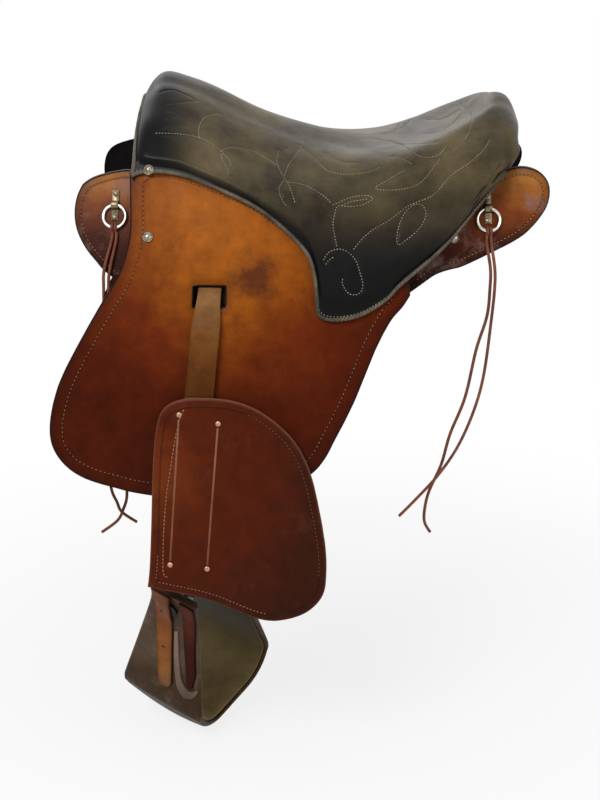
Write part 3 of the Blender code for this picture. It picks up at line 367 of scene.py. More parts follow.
def leather(name, stops, span, roughness=0.42, edge=None, edge_width=0.0024, groove=None, mottle=0.35,
            wear_and_highlight=None, stain=None, grain=1.0, coat=0.0, centre=None):
    """Oiled saddle leather: colours down its height, cloudy dye, pores, an edge colour and a stitching
    groove.

    span is the height of the first and last colour, or with a centre minus the distance from it; on the
    skirts and flaps these colours hold painted highlight and painted shade. The wear colour is a paler
    colour with how much of it shows, which on the skirts is partly a painted highlight, and stain a darker
    colour with its place and radius.
    """
    made, tree, where = blank_material(name)
    height = node(tree, "ShaderNodeSeparateXYZ", {0: where}).outputs["Z"]
    if centre:
        level = vector_maths(tree, "MULTIPLY", where, (1, 0, 1))[0]
        height = maths(tree, "MULTIPLY", vector_maths(tree, "DISTANCE", level, centre)["Value"], -1.0)
    clouds = noise(tree, where, 9, 5, 0.6, (0.25, 0.75), (-0.5, 0.5))
    moved = maths(tree, "MULTIPLY_ADD", clouds, (span[1] - span[0]) * mottle, height)
    ramp = node(tree, "ShaderNodeValToRGB", {"Fac": mapped(tree, moved, span)})
    elements = ramp.color_ramp.elements
    while len(elements) < len(stops):
        elements.new(0.5)
    for element, (position, colour) in zip(elements, stops):
        element.position = position
        element.color = linear(colour)
    spots = noise(tree, where, 42, 8, 0.68, result=(0.72, 1.22))
    colour = vector_maths(tree, "MULTIPLY", ramp.outputs["Color"], spots)[0]
    if wear_and_highlight:
        paler, low, most = wear_and_highlight
        colour = blended(tree, noise(tree, where, 14, 9, 0.72, (low, low + 0.18), (0, most)), colour, paler)
    if stain:
        darker, place, radius = stain
        away = vector_maths(tree, "DISTANCE", where, place)["Value"]
        torn = noise(tree, where, 38, 7, 0.75, (0.2, 0.8), (-0.9, 0.9))
        torn = maths(tree, "MULTIPLY_ADD", torn, radius, away)
        colour = blended(tree, mapped(tree, torn, (radius * 0.4, radius * 1.4), (0.8, 0.0)), colour, darker)
    # The edge colour: a dyed edge on most leathers, a painted highlight along the fenders' edges.
    if edge:
        rim = node(tree, "ShaderNodeAttribute", attribute_name="rim").outputs["Fac"]
        for near, far, share in ((1, 5, 0.35), (0.5, 1, 0.95)):
            edge_tint = mapped(tree, rim, (edge_width * near, edge_width * far), (share, 0.0))
            colour = blended(tree, edge_tint, colour, edge)
    pores = node(tree, "ShaderNodeTexVoronoi", {"Vector": where, "Scale": 1000.0}).outputs["Distance"]
    relief = maths(tree, "MULTIPLY_ADD", pores, 0.25 * grain, cloud(tree, where, 130, 7, 0.7))
    if groove:
        line = node(tree, "ShaderNodeAttribute", attribute_name="outline").outputs["Fac"]
        off = maths(tree, "ABSOLUTE", maths(tree, "SUBTRACT", line, groove))
        relief = maths(tree, "ADD", relief, mapped(tree, off, (0.0004, 0.0018), (-1.6, 0.0), True))
        # A darker line along the stitching groove.
        groove_darkening = maths(tree, "MULTIPLY", maths(tree, "COMPARE", line, groove, 0.0011), 0.45)
        colour = blended(tree, groove_darkening, colour, "#170b06")
    rough = noise(tree, where, 22, 6, 0.7, result=(roughness - 0.09, roughness + 0.12))
    return finish(made, colour, rough, (relief, 0.35 * grain, 0.0009),
                  {"IOR": 1.45, "Specular IOR Level": 0.05, "Coat Weight": coat, "Coat Roughness": 0.25})


def show(name, mesh, material, body, replaced=(), sharp=40):
    """Makes the object of a bmesh, smooth apart from sharp edges, riding on a body."""
    data = bpy.data.meshes.new(name)
    mesh.to_mesh(data)
    mesh.free()
    data.shade_smooth()
    data.set_sharp_from_angle(angle=math.radians(sharp))
    data.materials.append(material)
    made = bpy.data.objects.new(name, data)
    scene.collection.objects.link(made)
    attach(made, body)
    if replaced:
        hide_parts(*replaced)
    return made


def layer(name):
    """How far outside the horse's side a sheet of the CAD model starts, and its thickness."""
    outs = sorted(abs(v.co.y) - side_out(v.co.x, v.co.z) for v in frame["nodes"][name].data.vertices)
    middle = (outs[0] + outs[-1]) / 2
    low = [o for o in outs if o < middle]
    high = [o for o in outs if o > middle]
    start = sum(low) / len(low)
    return start, sum(high) / len(high) - start


def outline_of(name, side):
    """The longest closed outline of a CAD sheet's outer face, in x and z."""
    mesh = bmesh.new()
    mesh.from_mesh(frame["nodes"][name].data)
    bmesh.ops.remove_doubles(mesh, verts=mesh.verts[:], dist=1e-5)
    outer = {f for f in mesh.faces if f.normal.y * side > 0.7}
    rim = dict.fromkeys(e for e in mesh.edges if sum(f in outer for f in e.link_faces) == 1)
    best = []
    while rim:
        edge = next(iter(rim))
        loop = [edge.verts[0]]
        while edge:
            rim.pop(edge)
            loop.append(edge.other_vert(loop[-1]))
            edge = next((e for e in loop[-1].link_edges if e in rim), None)
        if len(loop) > len(best):
            best = loop
    points = [Vector((v.co.x, v.co.z)) for v in best[:-1]]
    mesh.free()
    return points


def evenly(points, count):
    """Points at even steps along a run of straight pieces, one more than the count."""
    lengths = [(b - a).length for a, b in zip(points, points[1:])]
    total = sum(lengths)
    result, gone, index = [points[0].copy()], 0.0, 0
    for k in range(1, count):
        target = total * k / count
        while index < len(lengths) - 1 and gone + lengths[index] < target:
            gone += lengths[index]
            index += 1
        share = (target - gone) / max(lengths[index], 1e-12)
        result.append(points[index].lerp(points[index + 1], share))
    return [*result, points[-1].copy()]


def stepped(points, spacing):
    """Points at steps of about a spacing along a run."""
    return evenly(points, max(1, round(run_length(points) / spacing)))


def smooth_rim(points, spacing=0.004, rounds=12, corner=34):
    """The same outline with even steps, its curves smooth and its corners kept."""
    count = len(points)
    corners = []
    for i in range(count):
        into, onwards = points[i] - points[i - 1], points[(i + 1) % count] - points[i]
        if into.length > 1e-6 and onwards.length > 1e-6 and into.angle(onwards) > math.radians(corner):
            corners.append(i)
    corners = corners or [0]
    result = []
    for a, b in zip(corners, corners[1:] + [corners[0] + count]):
        run = stepped([points[i % count] for i in range(a, b + 1)], spacing)
        for factor in (0.5, -0.52) * rounds:
            inner = [run[i].lerp((run[i - 1] + run[i + 1]) / 2, factor) for i in range(1, len(run) - 1)]
            run = [run[0], *inner, run[-1]]
        result += run[:-1]
    return result


class Rim:
    """An outline in two directions, with the distance of any place from it."""

    def __init__(self, points):
        self.points = points
        self.tree = KDTree(len(points))
        for i, point in enumerate(points):
            self.tree.insert((point.x, point.y, 0), i)
        self.tree.balance()

    def distance(self, a, b):
        i = self.tree.find((a, b, 0))[1]
        here = Vector((a, b))
        best = 1.0
        neighbours = self.points[i - 1], self.points[i], self.points[(i + 1) % len(self.points)]
        for first, second in zip(neighbours, neighbours[1:]):
            step = second - first
            share = max(0, min(1, (here - first).dot(step) / max(step.length_squared, 1e-12)))
            best = min(best, (first + step * share - here).length)
        return best

    def inset(self, distance, spacing):
        """Runs of even points inside the outline, at a distance from it."""
        area = sum(p.cross(q) for p, q in zip(self.points, self.points[1:] + self.points[:1]))
        turn = 1 if area > 0 else -1
        runs, run = [], []
        count = len(self.points)
        for i in range(count + 1):
            along = (self.points[(i + 1) % count] - self.points[i - 1]).normalized()
            place = self.points[i % count] + Vector((-along.y, along.x)) * turn * distance
            if self.distance(place.x, place.y) > distance * 0.97:
                run.append(place)
            elif run:
                runs.append(run)
                run = []
        return [stepped(r, spacing) for r in [*runs, run] if len(r) > 2]


def cut_across(mesh, k, value):
    """Cuts a flat mesh along a line where its direction k has a value."""
    point, normal = Vector((0, 0, 0)), Vector((0, 0, 0))
    point[k], normal[k] = value, 1
    parts = mesh.verts[:] + mesh.edges[:] + mesh.faces[:]
    bmesh.ops.bisect_plane(mesh, geom=parts, dist=1e-5, plane_co=point, plane_no=normal)


def sheet(rim, place, thick, cell=0.010, hole=None):
    """A sheet of leather: cut to its outline, laid out, thickened, its outer edge rounded.

    place gives the point for two directions along the sheet and a height above what carries it.
    """
    mesh = bmesh.new()
    blank = mesh.faces.new([mesh.verts.new((p.x, p.y, 0)) for p in rim.points])
    rounding = thick * 0.45
    for step in (0.10, 0.22, 0.33, 0.35):
        bmesh.ops.inset_region(mesh, faces=[blank], thickness=rounding * step, use_boundary=True,
                               use_even_offset=True)
    for k in (0, 1):
        low, high = min(p[k] for p in rim.points), max(p[k] for p in rim.points)
        for i in range(1, int((high - low) / cell) + 1):
            cut_across(mesh, k, low + cell * i)
    from_rim = mesh.verts.layers.float.new("rim")
    from_outline = mesh.verts.layers.float.new("outline")
    distances = [rim.distance]
    if hole:
        for k in (0, 1):
            for value in hole[k]:
                cut_across(mesh, k, value)
        middles = [(f, f.calc_center_median()) for f in mesh.faces]
        inside = [f for f, m in middles if all(hole[k][0] < m[k] < hole[k][1] for k in (0, 1))]
        bmesh.ops.delete(mesh, geom=inside, context="FACES")
        (a, b), (c, d) = hole
        hole_line = [Vector(p) for p in ((a, c), (b, c), (b, d), (a, d), (a, c))]
        distances.append(Rim(evenly(hole_line, 40)[:-1]).distance)
    for vert in mesh.verts:
        vert[from_outline] = rim.distance(vert.co.x, vert.co.y)
        vert[from_rim] = min(distance(vert.co.x, vert.co.y) for distance in distances)
    grown = bmesh.ops.extrude_face_region(mesh, geom=mesh.faces[:])["geom"]
    outer = {v for v in grown if isinstance(v, bmesh.types.BMVert)}
    for vert in mesh.verts:
        height = 0
        if vert in outer:
            height = thick
            if vert[from_rim] < rounding:
                height -= rounding - math.sqrt(max(0, rounding**2 - (rounding - vert[from_rim]) ** 2))
        vert.co = place(vert.co.x, vert.co.y, height)
    bmesh.ops.recalc_face_normals(mesh, faces=mesh.faces[:])
    return mesh


def stitches(mesh, points, normals, filled=0.68, radius=THREAD_RADIUS, fineness=1):
    """Adds a row of thread stitches: one low bead of thread from each point to the next."""
    for here, there, normal in zip(points, points[1:], normals):
        along = there - here
        if along.length < 1e-6:
            continue
        across = normal.cross(along).normalized()
        up = along.cross(across).normalized()
        size = Matrix.Diagonal((along.length / 2 * filled, radius, radius, 1))
        turn = Matrix((along.normalized(), across, up)).transposed().to_4x4()
        bmesh.ops.create_icosphere(mesh, subdivisions=fineness, radius=1,
                                   matrix=Matrix.Translation((here + there) / 2) @ turn @ size)


def stitched_rim(name, laid, inset, spacing, material, body, keep, sunk=-0.0002):
    """The rows of stitches along a laid sheet's outline, as one piece of thread."""
    rim, place, start, thick = laid
    mesh = bmesh.new()
    for run in rim.inset(inset, spacing):
        run = [p for p in run if keep(p.x, p.y)]
        points = [place(p.x, p.y, thick - sunk) for p in run]
        normals = [place(p.x, p.y, thick + 0.001) - place(p.x, p.y, thick) for p in run]
        for p, q, n in zip(points, points[1:], normals):
            if (q - p).length < spacing * 1.6:
                stitches(mesh, [p, q], [n], fineness=2)
    return show(name, mesh, material, body)


def thread(name, *colours):
    """Waxed linen thread: twisted strands, dirty in places."""
    return fibrous(name, colours, (70, 4), (1800, 2), (0.4, 0.0003), 0.6, {"IOR": 1.5})


def lay_sheet(name, node_name, side, material, body, like=None, smoothing=(), hole=None):
    """Shows a CAD sheet of the horse's side. Gives its rim, place function, start and thickness."""
    start, thick = layer(node_name)
    rim = Rim(smooth_rim(outline_of(like or node_name, side), *smoothing))

    def place(x, z, height):
        return on_side(x, z, start + height, side)

    show(name, sheet(rim, place, thick, hole=hole), material, body, [node_name])
    return rim, place, start, thick


# Painted light on the skirts: near black low down is painted shade, the golden top is a painted highlight,
# and the grey-pink patches are partly wear and partly painted highlight.
skirt_leather = leather("skirt_leather_worn_and_highlit", ((0.0, "#1d0b06"), (0.4, "#431c10"), (0.7, "#7a3d1c"),
                        (1.0, "#b07030")), (-0.03, 0.115), 0.34, edge="#140a07",
                        groove=SKIRT_STITCH_INSET, wear_and_highlight=("#8f6f66", 0.50, 0.85), coat=0.03)
lining_felt = leather("lining_black", ((0.0, "#0d0c0c"), (1.0, "#1b1918")), (-0.06, 0.12), 0.72,
                      edge="#050505", grain=1.6)
brown_thread = thread("brown_thread", "#6e4a2c", "#a97c4c")
for where, side in SIDES.items():
    for kind, material in (("skirt_lining", lining_felt), ("skirt", skirt_leather)):
        laid = lay_sheet(f"{kind}_sheet_{where}", f"{kind}_{where}", side, material, "saddle",
                         f"skirt_{where}")
    stitched_rim(f"skirt_stitches_{where}", laid, SKIRT_STITCH_INSET, SKIRT_STITCH_STEP, brown_thread,
                 "saddle", lambda x, z: abs(x) > 0.13 and not (abs(x) < 0.17 and z > 0))


# Flaps: the large stiff leather sheets under the rider's leg, 5 mm thick, each with a slot that the
# stirrup leather comes out of. Orange-tan round a middle under the seat and darker away from it, partly the
# leather's own oil-darkened colour and partly painted shade near the fender's top and beside the stirrup
# leather, with a stain under the seat.
FLAP_STITCH_INSET = 0.0165
FLAP_STITCH_STEP = 0.0056
FLAP_STITCH_SUNK = 0.00035
FLAP_STITCH_TOP_Z = 0.112
SLOT_X = (-0.147, -0.107)
SLOT_Z = (-0.0400, -0.0155)
STAIN_PLACE = (-0.072, -0.215, -0.008)
# Painted shade: the flap darkens with distance from its middle, partly where the fender and the stirrup
# leather shade it.
flap_leather = leather("flap_leather_oiled_and_shaded", ((0.0, "#4a1806"), (0.28, "#511a06"), (0.5, "#6b2a0a"),
                       (0.76, "#934c10"), (1.0, "#a55a18")), (-0.29, -0.04), 0.36, edge="#170d09",
                       groove=FLAP_STITCH_INSET, mottle=0.28, stain=("#4a2416", STAIN_PLACE, 0.027),
                       wear_and_highlight=("#5a200a", 0.56, 0.6), coat=0.02, centre=(-0.098, 0, 0.058))
for where, side in SIDES.items():
    laid = lay_sheet(f"flap_sheet_{where}", f"flap_{where}", side, flap_leather, "saddle",
                     hole=(SLOT_X, SLOT_Z))
    stitched_rim(f"flap_stitches_{where}", laid, FLAP_STITCH_INSET, FLAP_STITCH_STEP, brown_thread,
                 "saddle", lambda x, z: z < FLAP_STITCH_TOP_Z, FLAP_STITCH_SUNK)


# Seat: black padded leather drawn over the tree, with a flat stitched flange along its lower edge, a
# turned edge, and scrolls stitched through the padding. The far half mirrors the near one. A station is
# its place along the saddle, its middle's height, and how far out and how high its rim is.
SEAT_SIDE_OUT = 0.0332
SEAT_FLANGE = 0.012
SEAT_SWELL = 0.0055
SEAT_SMOOTHING = 8
SEAT_TOP_SIDE_Z = 0.0958
SEAT_EDGE_WIDTH = 0.016
SEAT_TUCK = (0.234, 0.272)
SEAT_TUCK_Z = (0.115, 0.165)
SEAT_TUCK_SLOPE = math.tan(math.radians(31))
SEAT_TUCK_IN = 0.018
SEAT_COLUMNS = 250
SEAT_ROWS = 330
SEAM_DEPTH = 0.0006
QUILT_DEPTH = 0.0003
CREASE_DEPTH = 0.0008
SEAT_STATIONS = (
    (-0.222, 0.1920, 0.078, 0.176), (-0.210, 0.2120, 0.078, 0.194), (-0.193, 0.2235, 0.078, 0.205),
    (-0.165, 0.2170, 0.080, 0.199), (-0.129, 0.2035, 0.086, 0.184), (-0.070, 0.1745, 0.100, 0.156),
    (-0.016, 0.1560, 0.116, 0.138), (0.037, 0.1430, 0.128, 0.129), (0.091, 0.1380, 0.138, 0.131),
    (0.140, 0.1420, 0.140, 0.145), (0.180, 0.1540, 0.132, 0.163), (0.212, 0.1740, 0.114, 0.177),
    (0.232, 0.1920, 0.094, 0.184), (0.248, 0.1960, 0.086, 0.182), (0.261, 0.1880, 0.084, 0.171),
    (0.270, 0.1640, 0.084, 0.152), (0.272, 0.1300, 0.086, 0.124),
)
SEAT_EDGE = (
    (-0.224, 0.112), (-0.205, 0.117), (-0.164, 0.115), (-0.114, 0.098), (-0.064, 0.075),
    (-0.027, 0.046), (-0.005, 0.022), (0.003, -0.001), (0.006, -0.031), (0.009, -0.050),
    (0.029, -0.055), (0.060, -0.049), (0.091, -0.031), (0.109, -0.013), (0.159, 0.028),
    (0.196, 0.068), (0.230, 0.106), (0.240, 0.119), (0.252, 0.124),
)


def seat_edge_z(x):
    """The height of the seat's lower edge at a place along the saddle."""
    for (x0, z0), (x1, z1) in zip(SEAT_EDGE, SEAT_EDGE[1:]):
        if x <= x1:
            return z0 + (z1 - z0) * max(0, (x - x0) / (x1 - x0))
    return SEAT_EDGE[-1][1]


def full_tuck(z):
    """How far forward the seat's last station comes at a height, as it turns in under the rim."""
    return (SEAT_TUCK_Z[1] - min(SEAT_TUCK_Z[1], max(SEAT_TUCK_Z[0], z))) * SEAT_TUCK_SLOPE


def tuck_share(x):
    """How much of the full tuck a place along the saddle has."""
    return max(0, (x - SEAT_TUCK[0]) / (SEAT_TUCK[1] - SEAT_TUCK[0]))


def tucked(x, z):
    """Where a place along the saddle comes at a height, once the seat's rear has turned in."""
    return x - full_tuck(z) * tuck_share(x)


def seat_side_point(x, z):
    """A point of the seat's side, at a place that already has its tuck."""
    slope = full_tuck(z) / (SEAT_TUCK[1] - SEAT_TUCK[0])
    straight = (x - slope * SEAT_TUCK[0]) / (1 - slope) if x > SEAT_TUCK[0] else x
    return x, side_out(straight, z) + SEAT_SIDE_OUT - SEAT_TUCK_IN * tuck_share(straight) ** 2, z


def eased_run(points, steps):
    """A smooth run through unevenly spaced points, which never loops beside a short span."""
    points = [Vector(p) for p in points]
    spans = [(b - a).length ** 0.5 for a, b in zip(points, points[1:])]
    slopes = [(b - a) / d for a, b, d in zip(points, points[1:], spans)]
    mixed = [(m * e + n * d) / (d + e) for m, n, d, e in zip(slopes, slopes[1:], spans, spans[1:])]
    tangents = [slopes[0], *mixed, slopes[-1]]
    run = [points[0]]
    for a, b, m, n, d in zip(points, points[1:], tangents, tangents[1:], spans):
        run += [between(a, b, m * d, n * d, k / steps) for k in range(1, steps + 1)]
    return run


def seat_section(station, edge):
    """A run of points over the seat from its near edge to the far one."""
    x, middle_z, rim_out, rim_z = station
    top_z = max(SEAT_TOP_SIDE_Z, seat_edge_z(x) + SEAT_EDGE_WIDTH)
    top = Vector((tucked(x, top_z), top_z))
    half = [seat_side_point(*Vector(edge).lerp(top, k / 4)) for k in range(5)]
    low_y, low_z = half[-1][1:]
    for y, z in ((low_y * 0.62 + rim_out * 0.38 + 0.004, low_z * 0.50 + rim_z * 0.50),
                 (low_y * 0.25 + rim_out * 0.75 + 0.003, low_z * 0.17 + rim_z * 0.83),
                 (rim_out * 0.86, rim_z + (middle_z - rim_z) * 0.12 + 0.0015),
                 (rim_out * 0.55, rim_z + (middle_z - rim_z) * 0.52),
                 (rim_out * 0.26, rim_z + (middle_z - rim_z) * 0.86)):
        half.append((tucked(x, z), y, z))
    middle = (tucked(x, middle_z), 0, middle_z)
    return eased_run([*[(a, -y, z) for a, y, z in half], middle, *reversed(half)], 8)


def seat_surface(columns, rows):
    """The seat's outer surface as columns of evenly spaced points, the first and last on its edges."""
    stations = evenly(smooth_run(SEAT_STATIONS, 10), columns)
    edges = evenly(smooth_run(SEAT_EDGE, 8), columns)
    return [evenly(seat_section(s, e), rows) for s, e in zip(stations, edges)]


def grid_mesh(columns, rows, place, rim=None):
    """A sheet of cells, each corner put in its place, and given its rim distance, by its column and row."""
    mesh = bmesh.new()
    bmesh.ops.create_grid(mesh, x_segments=columns, y_segments=rows, size=0.5)
    layer_rim = mesh.verts.layers.float.new("rim")
    for vert in mesh.verts:
        i, j = round((vert.co.x + 0.5) * columns), round((vert.co.y + 0.5) * rows)
        vert.co = place(i, j)
        vert[layer_rim] = rim(i, j) if rim else 1.0
    return mesh


def normals_of(grid):
    """The outward direction at each point of columns of points."""
    result = []
    for i, column in enumerate(grid):
        behind, ahead = grid[max(i - 1, 0)], grid[min(i + 1, len(grid) - 1)]
        result.append([(ahead[j] - behind[j]).cross(column[min(j + 1, len(column) - 1)]
                       - column[max(j - 1, 0)]).normalized() for j in range(len(column))])
    return result


def ease(value, low, high):
    """A smooth step from 0 to 1 between two values."""
    t = max(0, min(1, (value - low) / (high - low)))
    return t * t * (3 - 2 * t)


seat = seat_surface(SEAT_COLUMNS, SEAT_ROWS)
seat_out = normals_of(seat)
step = [run_length(column) / SEAT_ROWS for column in seat]
for i, column in enumerate(seat):
    ends = ease(i, 0, 14) * ease(SEAT_COLUMNS - i, 0, 12)
    for j in range(SEAT_ROWS + 1):
        far = min(j, SEAT_ROWS - j) * step[i]
        swell = ease(far, SEAT_FLANGE, SEAT_FLANGE + 0.016) * (1 - ease(far, 0.055, 0.12))
        column[j] = column[j] + seat_out[i][j] * SEAT_SWELL * swell * ends
for _ in range(SEAT_SMOOTHING):
    before = [list(column) for column in seat]
    for i in range(1, SEAT_COLUMNS):
        for j in range(1, SEAT_ROWS):
            middle = (before[i - 1][j] + before[i + 1][j] + before[i][j - 1] + before[i][j + 1]) / 4
            seat[i][j] = before[i][j].lerp(middle, 0.6 * ease(min(j, SEAT_ROWS - j) * step[i], 0.003, 0.012))
seat_out = normals_of(seat)

# The scrolls, as pixels of the photograph laid on the seat along the camera's rays.
SCROLLS = (
    ((155, 133), (177, 133.6), (193, 136), (205, 140), (215, 146), (222, 152)),
    ((221, 152), (224, 149), (233, 147.6), (245, 149), (257, 153), (269, 160), (276, 165)),
    ((221, 154), (222, 160), (227, 168), (228, 175)),
    ((222, 153), (226, 156), (230, 161), (231, 166)),
    ((199, 138), (199, 127), (204, 118), (212, 114.5), (221, 114)),
    ((279, 150), (277, 160), (279, 168), (284, 176), (288, 166), (295, 156), (301, 148)),
    ((287, 182), (301, 184), (315, 190), (325, 197), (331, 203)),
    ((284, 180), (279, 188), (281, 198), (286, 206)),
    ((286, 180), (291, 190), (295, 203)),
    ((284, 176), (285, 180), (287, 182)),
    ((299, 145), (307, 151), (317, 161), (327, 170), (339, 173.6), (352, 174), (368, 172), (380, 167)),
    ((326, 153), (334, 159), (346, 163), (358, 163)),
    ((376, 138.5), (392, 141), (404, 145), (414, 153), (422, 157), (432, 157), (440, 154), (446, 146)),
    ((393, 156), (402, 159), (412, 164)),
    ((396, 143.5), (410, 143.5), (424, 143), (438, 142)),
    ((424, 133), (440, 131), (452, 123), (460, 115)),
    ((428, 119), (444, 118), (458, 110)),
    ((406, 170), (396, 175), (386, 181), (375, 188), (386, 190), (400, 189.4), (412, 187), (420, 183),
     (428, 175), (434, 166), (440, 159)),
    ((332, 205), (338, 203), (346, 199), (358, 196), (370, 196), (373, 199), (368, 202), (362, 205),
     (350, 206.6), (338, 206), (335, 213), (333, 225), (335, 237), (337, 247)),
    ((341, 206), (350, 202), (360, 200), (368, 199)),
    ((323, 261), (328, 253), (338, 249), (348, 252), (356, 261), (360, 273), (363, 285), (360, 293),
     (353, 295), (347, 292), (342, 283), (343, 278)),
    ((325, 265), (329, 260), (334, 257)),
    ((353, 250), (362, 239), (374, 229), (388, 221), (400, 212), (408, 206), (420, 201), (430, 197),
     (438, 191), (444, 183), (454, 173), (466, 165), (476, 157), (484, 149), (490, 139)),
    ((415, 204), (422, 205), (426, 213), (423, 223), (416, 232), (406, 240), (398, 245), (397, 235),
     (400, 223), (406, 211), (415, 204)),
    ((470, 112), (471, 125), (465, 139), (453, 151)),
)
CREASES = (
    ((160, 92), (172, 90), (184, 94), (198, 101)), ((168, 104), (182, 102), (196, 101)),
    ((168, 111), (176, 113), (184, 117)), ((166, 119), (174, 117), (183, 118)),
    ((196, 137), (198, 124), (203, 110)), ((286, 160), (283, 153), (287, 148)),
)
SCROLL_STEP = 0.0038
SCROLL_THREAD_RADIUS = 0.0007
SEAT_BLACK = ("#060606", "#0e0d0c")
# The olive brown of the seat's painted sheen.
SEAT_SHEEN = "#66583d"


def photo_ray(px, py):
    """The direction from the camera through a pixel of the photograph."""
    focal = CAMERA_LENS / SENSOR * PHOTO_SIZE[1]
    ray = Vector((px - PHOTO_SIZE[0] / 2, PHOTO_SIZE[1] / 2 - py, -focal))
    return camera.rotation_euler.to_matrix() @ ray


def laid_on_seat(curve):
    """A curve given in pixels, as even steps of places on the seat with their outward directions."""
    hits = [seat_tree.ray_cast(CAMERA_PLACE, photo_ray(*p))[0] for p in smooth_run(curve, 6)]
    hits = [p for p in hits if p is not None]
    runs = evenly(hits, max(2, round(run_length(hits) / SCROLL_STEP)))
    return [seat_tree.find_nearest(p)[:2] for p in runs]


def mirrored(vectors):
    """The same vectors on the saddle's other half."""
    return [Vector((v.x, -v.y, v.z)) for v in vectors]


def nearness(runs):
    """A function for the distance of a point from the lines of runs of places."""
    fine = [p for run in runs for p in evenly([p for p, n in run], len(run) * 6)]
    found = KDTree(len(fine))
    for index, point in enumerate(fine):
        found.insert(point, index)
    found.balance()
    return lambda point: found.find(point)[2]


corners = [p for column in seat for p in column]
tall = SEAT_ROWS + 1
cells = [(a, a + tall, a + tall + 1, a + 1) for i in range(SEAT_COLUMNS)
         for a in range(i * tall, i * tall + SEAT_ROWS)]
seat_tree = BVHTree.FromPolygons(corners, cells)
scrolls = []
for curve in SCROLLS:
    run = laid_on_seat(curve)
    scrolls.append(run)
    if sum(p.y for p, n in run) / len(run) < -0.02:
        scrolls.append([mirrored(pair) for pair in run])
off_seam = nearness(scrolls)
off_crease = nearness([laid_on_seat(curve) for curve in CREASES])


def seat_place(i, j):
    """A place on the seat, sunk along the seams and creases and swollen between them."""
    point = seat[i][j]
    off = off_seam(point)
    lift = QUILT_DEPTH * (1 - math.exp(-(off / 0.006) ** 2)) - SEAM_DEPTH * math.exp(-(off / 0.0016) ** 2)
    lift -= CREASE_DEPTH * math.exp(-(off_crease(point) / 0.0015) ** 2)
    return point + seat_out[i][j] * lift


def seat_material():
    """Black upholstery leather with a painted olive-brown sheen on its upper swells, with fine pores and
    creases.
    """
    made, tree, where = blank_material("black_seat_leather")
    place = node(tree, "ShaderNodeSeparateXYZ", {0: where}).outputs
    rim = node(tree, "ShaderNodeAttribute", attribute_name="rim").outputs["Fac"]
    # Painted sheen: olive brown in cloudy patches high on the seat, away from its edges and the pommel's
    # front.
    sheen_share = maths(tree, "MULTIPLY", mapped(tree, place["Z"], (0.01, 0.13), smooth=True),
                 mapped(tree, place["X"], (-0.19, -0.125), smooth=True))
    sheen_share = maths(tree, "MULTIPLY", sheen_share, noise(tree, where, 10, 7, 0.65, (0.36, 0.66), (0.15, 1.0)))
    sheen_share = maths(tree, "MULTIPLY", sheen_share, mapped(tree, rim, (0.012, 0.035)))
    colour = blended(tree, sheen_share, blended(tree, noise(tree, where, 26, 8, 0.7), *SEAT_BLACK), SEAT_SHEEN)
    pores = node(tree, "ShaderNodeTexVoronoi", {"Vector": where, "Scale": 780.0}).outputs["Distance"]
    relief = maths(tree, "MULTIPLY_ADD", pores, 0.35, cloud(tree, where, 95, 8, 0.72))
    return finish(made, colour, noise(tree, where, 17, 7, 0.7, result=(0.32, 0.48)), (relief, 0.3, 0.0010),
                  {"IOR": 1.45, "Specular IOR Level": 0.08, "Coat Weight": 0.07, "Coat Roughness": 0.07})


seat_leather = seat_material()
cover = grid_mesh(SEAT_COLUMNS, SEAT_ROWS, seat_place, lambda i, j: min(j, SEAT_ROWS - j) * step[i])
cover = show("seat_cover_leather", cover, seat_leather, "saddle", ["seat_cover"], sharp=60)
grey_thread = thread("grey_thread", "#6f6857", "#a39a84")
mesh = bmesh.new()
for run in scrolls:
    sunk = [p - n * (SEAM_DEPTH - THREAD_RADIUS * 0.6) for p, n in run]
    stitches(mesh, sunk, [n for p, n in run], radius=SCROLL_THREAD_RADIUS)
show("seat_scroll_stitches", mesh, grey_thread, "saddle")

# The seat's flange: a row of thread inside its edge, a turned edge of the same leather all round, lace
# whipped over the rear part of the edge, and facings that close the seat before and behind.
FLANGE_STITCH_INSET = 0.0062
FLANGE_STITCH_STEP = 0.0042
EDGE_ROLL = 0.0024
EDGE_ROLL_STEPS = 620
WHIP_START_X = 0.030
WHIP_STEP = 0.0050
WHIP_REACH = 0.0056
WHIP_RADIUS = 0.0010
COVER_THICK = 0.0030
FLESH_SHARE = 5
FACING_COLUMNS = 90
FACING_STEPS = 8
FACING_THICK = 0.0016


def near_edge_run(inset, first_x=-1.0):
    """The places at a distance inside the seat's near edge, at its columns."""
    points = []
    for i, column in enumerate(seat):
        at = inset / step[i]
        place = column[int(at)].lerp(column[int(at) + 1], at - int(at))
        if place.x > first_x:
            points.append(place)
    return points


def tube(mesh, points, radius, closed=False, sides=8):
    """Adds a round tube along a run of points."""
    count = len(points)
    rings = []
    across = Vector((0.31, 0.52, 0.79))
    for i, point in enumerate(points):
        before = points[i - 1] if closed or i else point
        after = points[(i + 1) % count] if closed or i + 1 < count else point
        along = (after - before).normalized()
        across = (across - along * across.dot(along)).normalized()
        turn = Matrix((across, along.cross(across), along)).transposed().to_4x4()
        rings.append(bmesh.ops.create_circle(mesh, segments=sides, radius=radius,
                                             matrix=Matrix.Translation(point) @ turn)["verts"])
    pairs = list(zip(rings, rings[1:]))
    if closed:
        turn = min(range(sides), key=lambda k: (rings[0][k].co - rings[-1][0].co).length)
        pairs.append((rings[-1], rings[0][turn:] + rings[0][:turn]))
    else:
        mesh.faces.new(rings[0])
        mesh.faces.new(rings[-1])
    for ring, following in pairs:
        for k in range(sides):
            mesh.faces.new((ring[k], ring[(k + 1) % sides], following[(k + 1) % sides], following[k]))


def flipped(mesh):
    """The same mesh with its faces turned over."""
    bmesh.ops.reverse_faces(mesh, faces=mesh.faces[:])
    return mesh


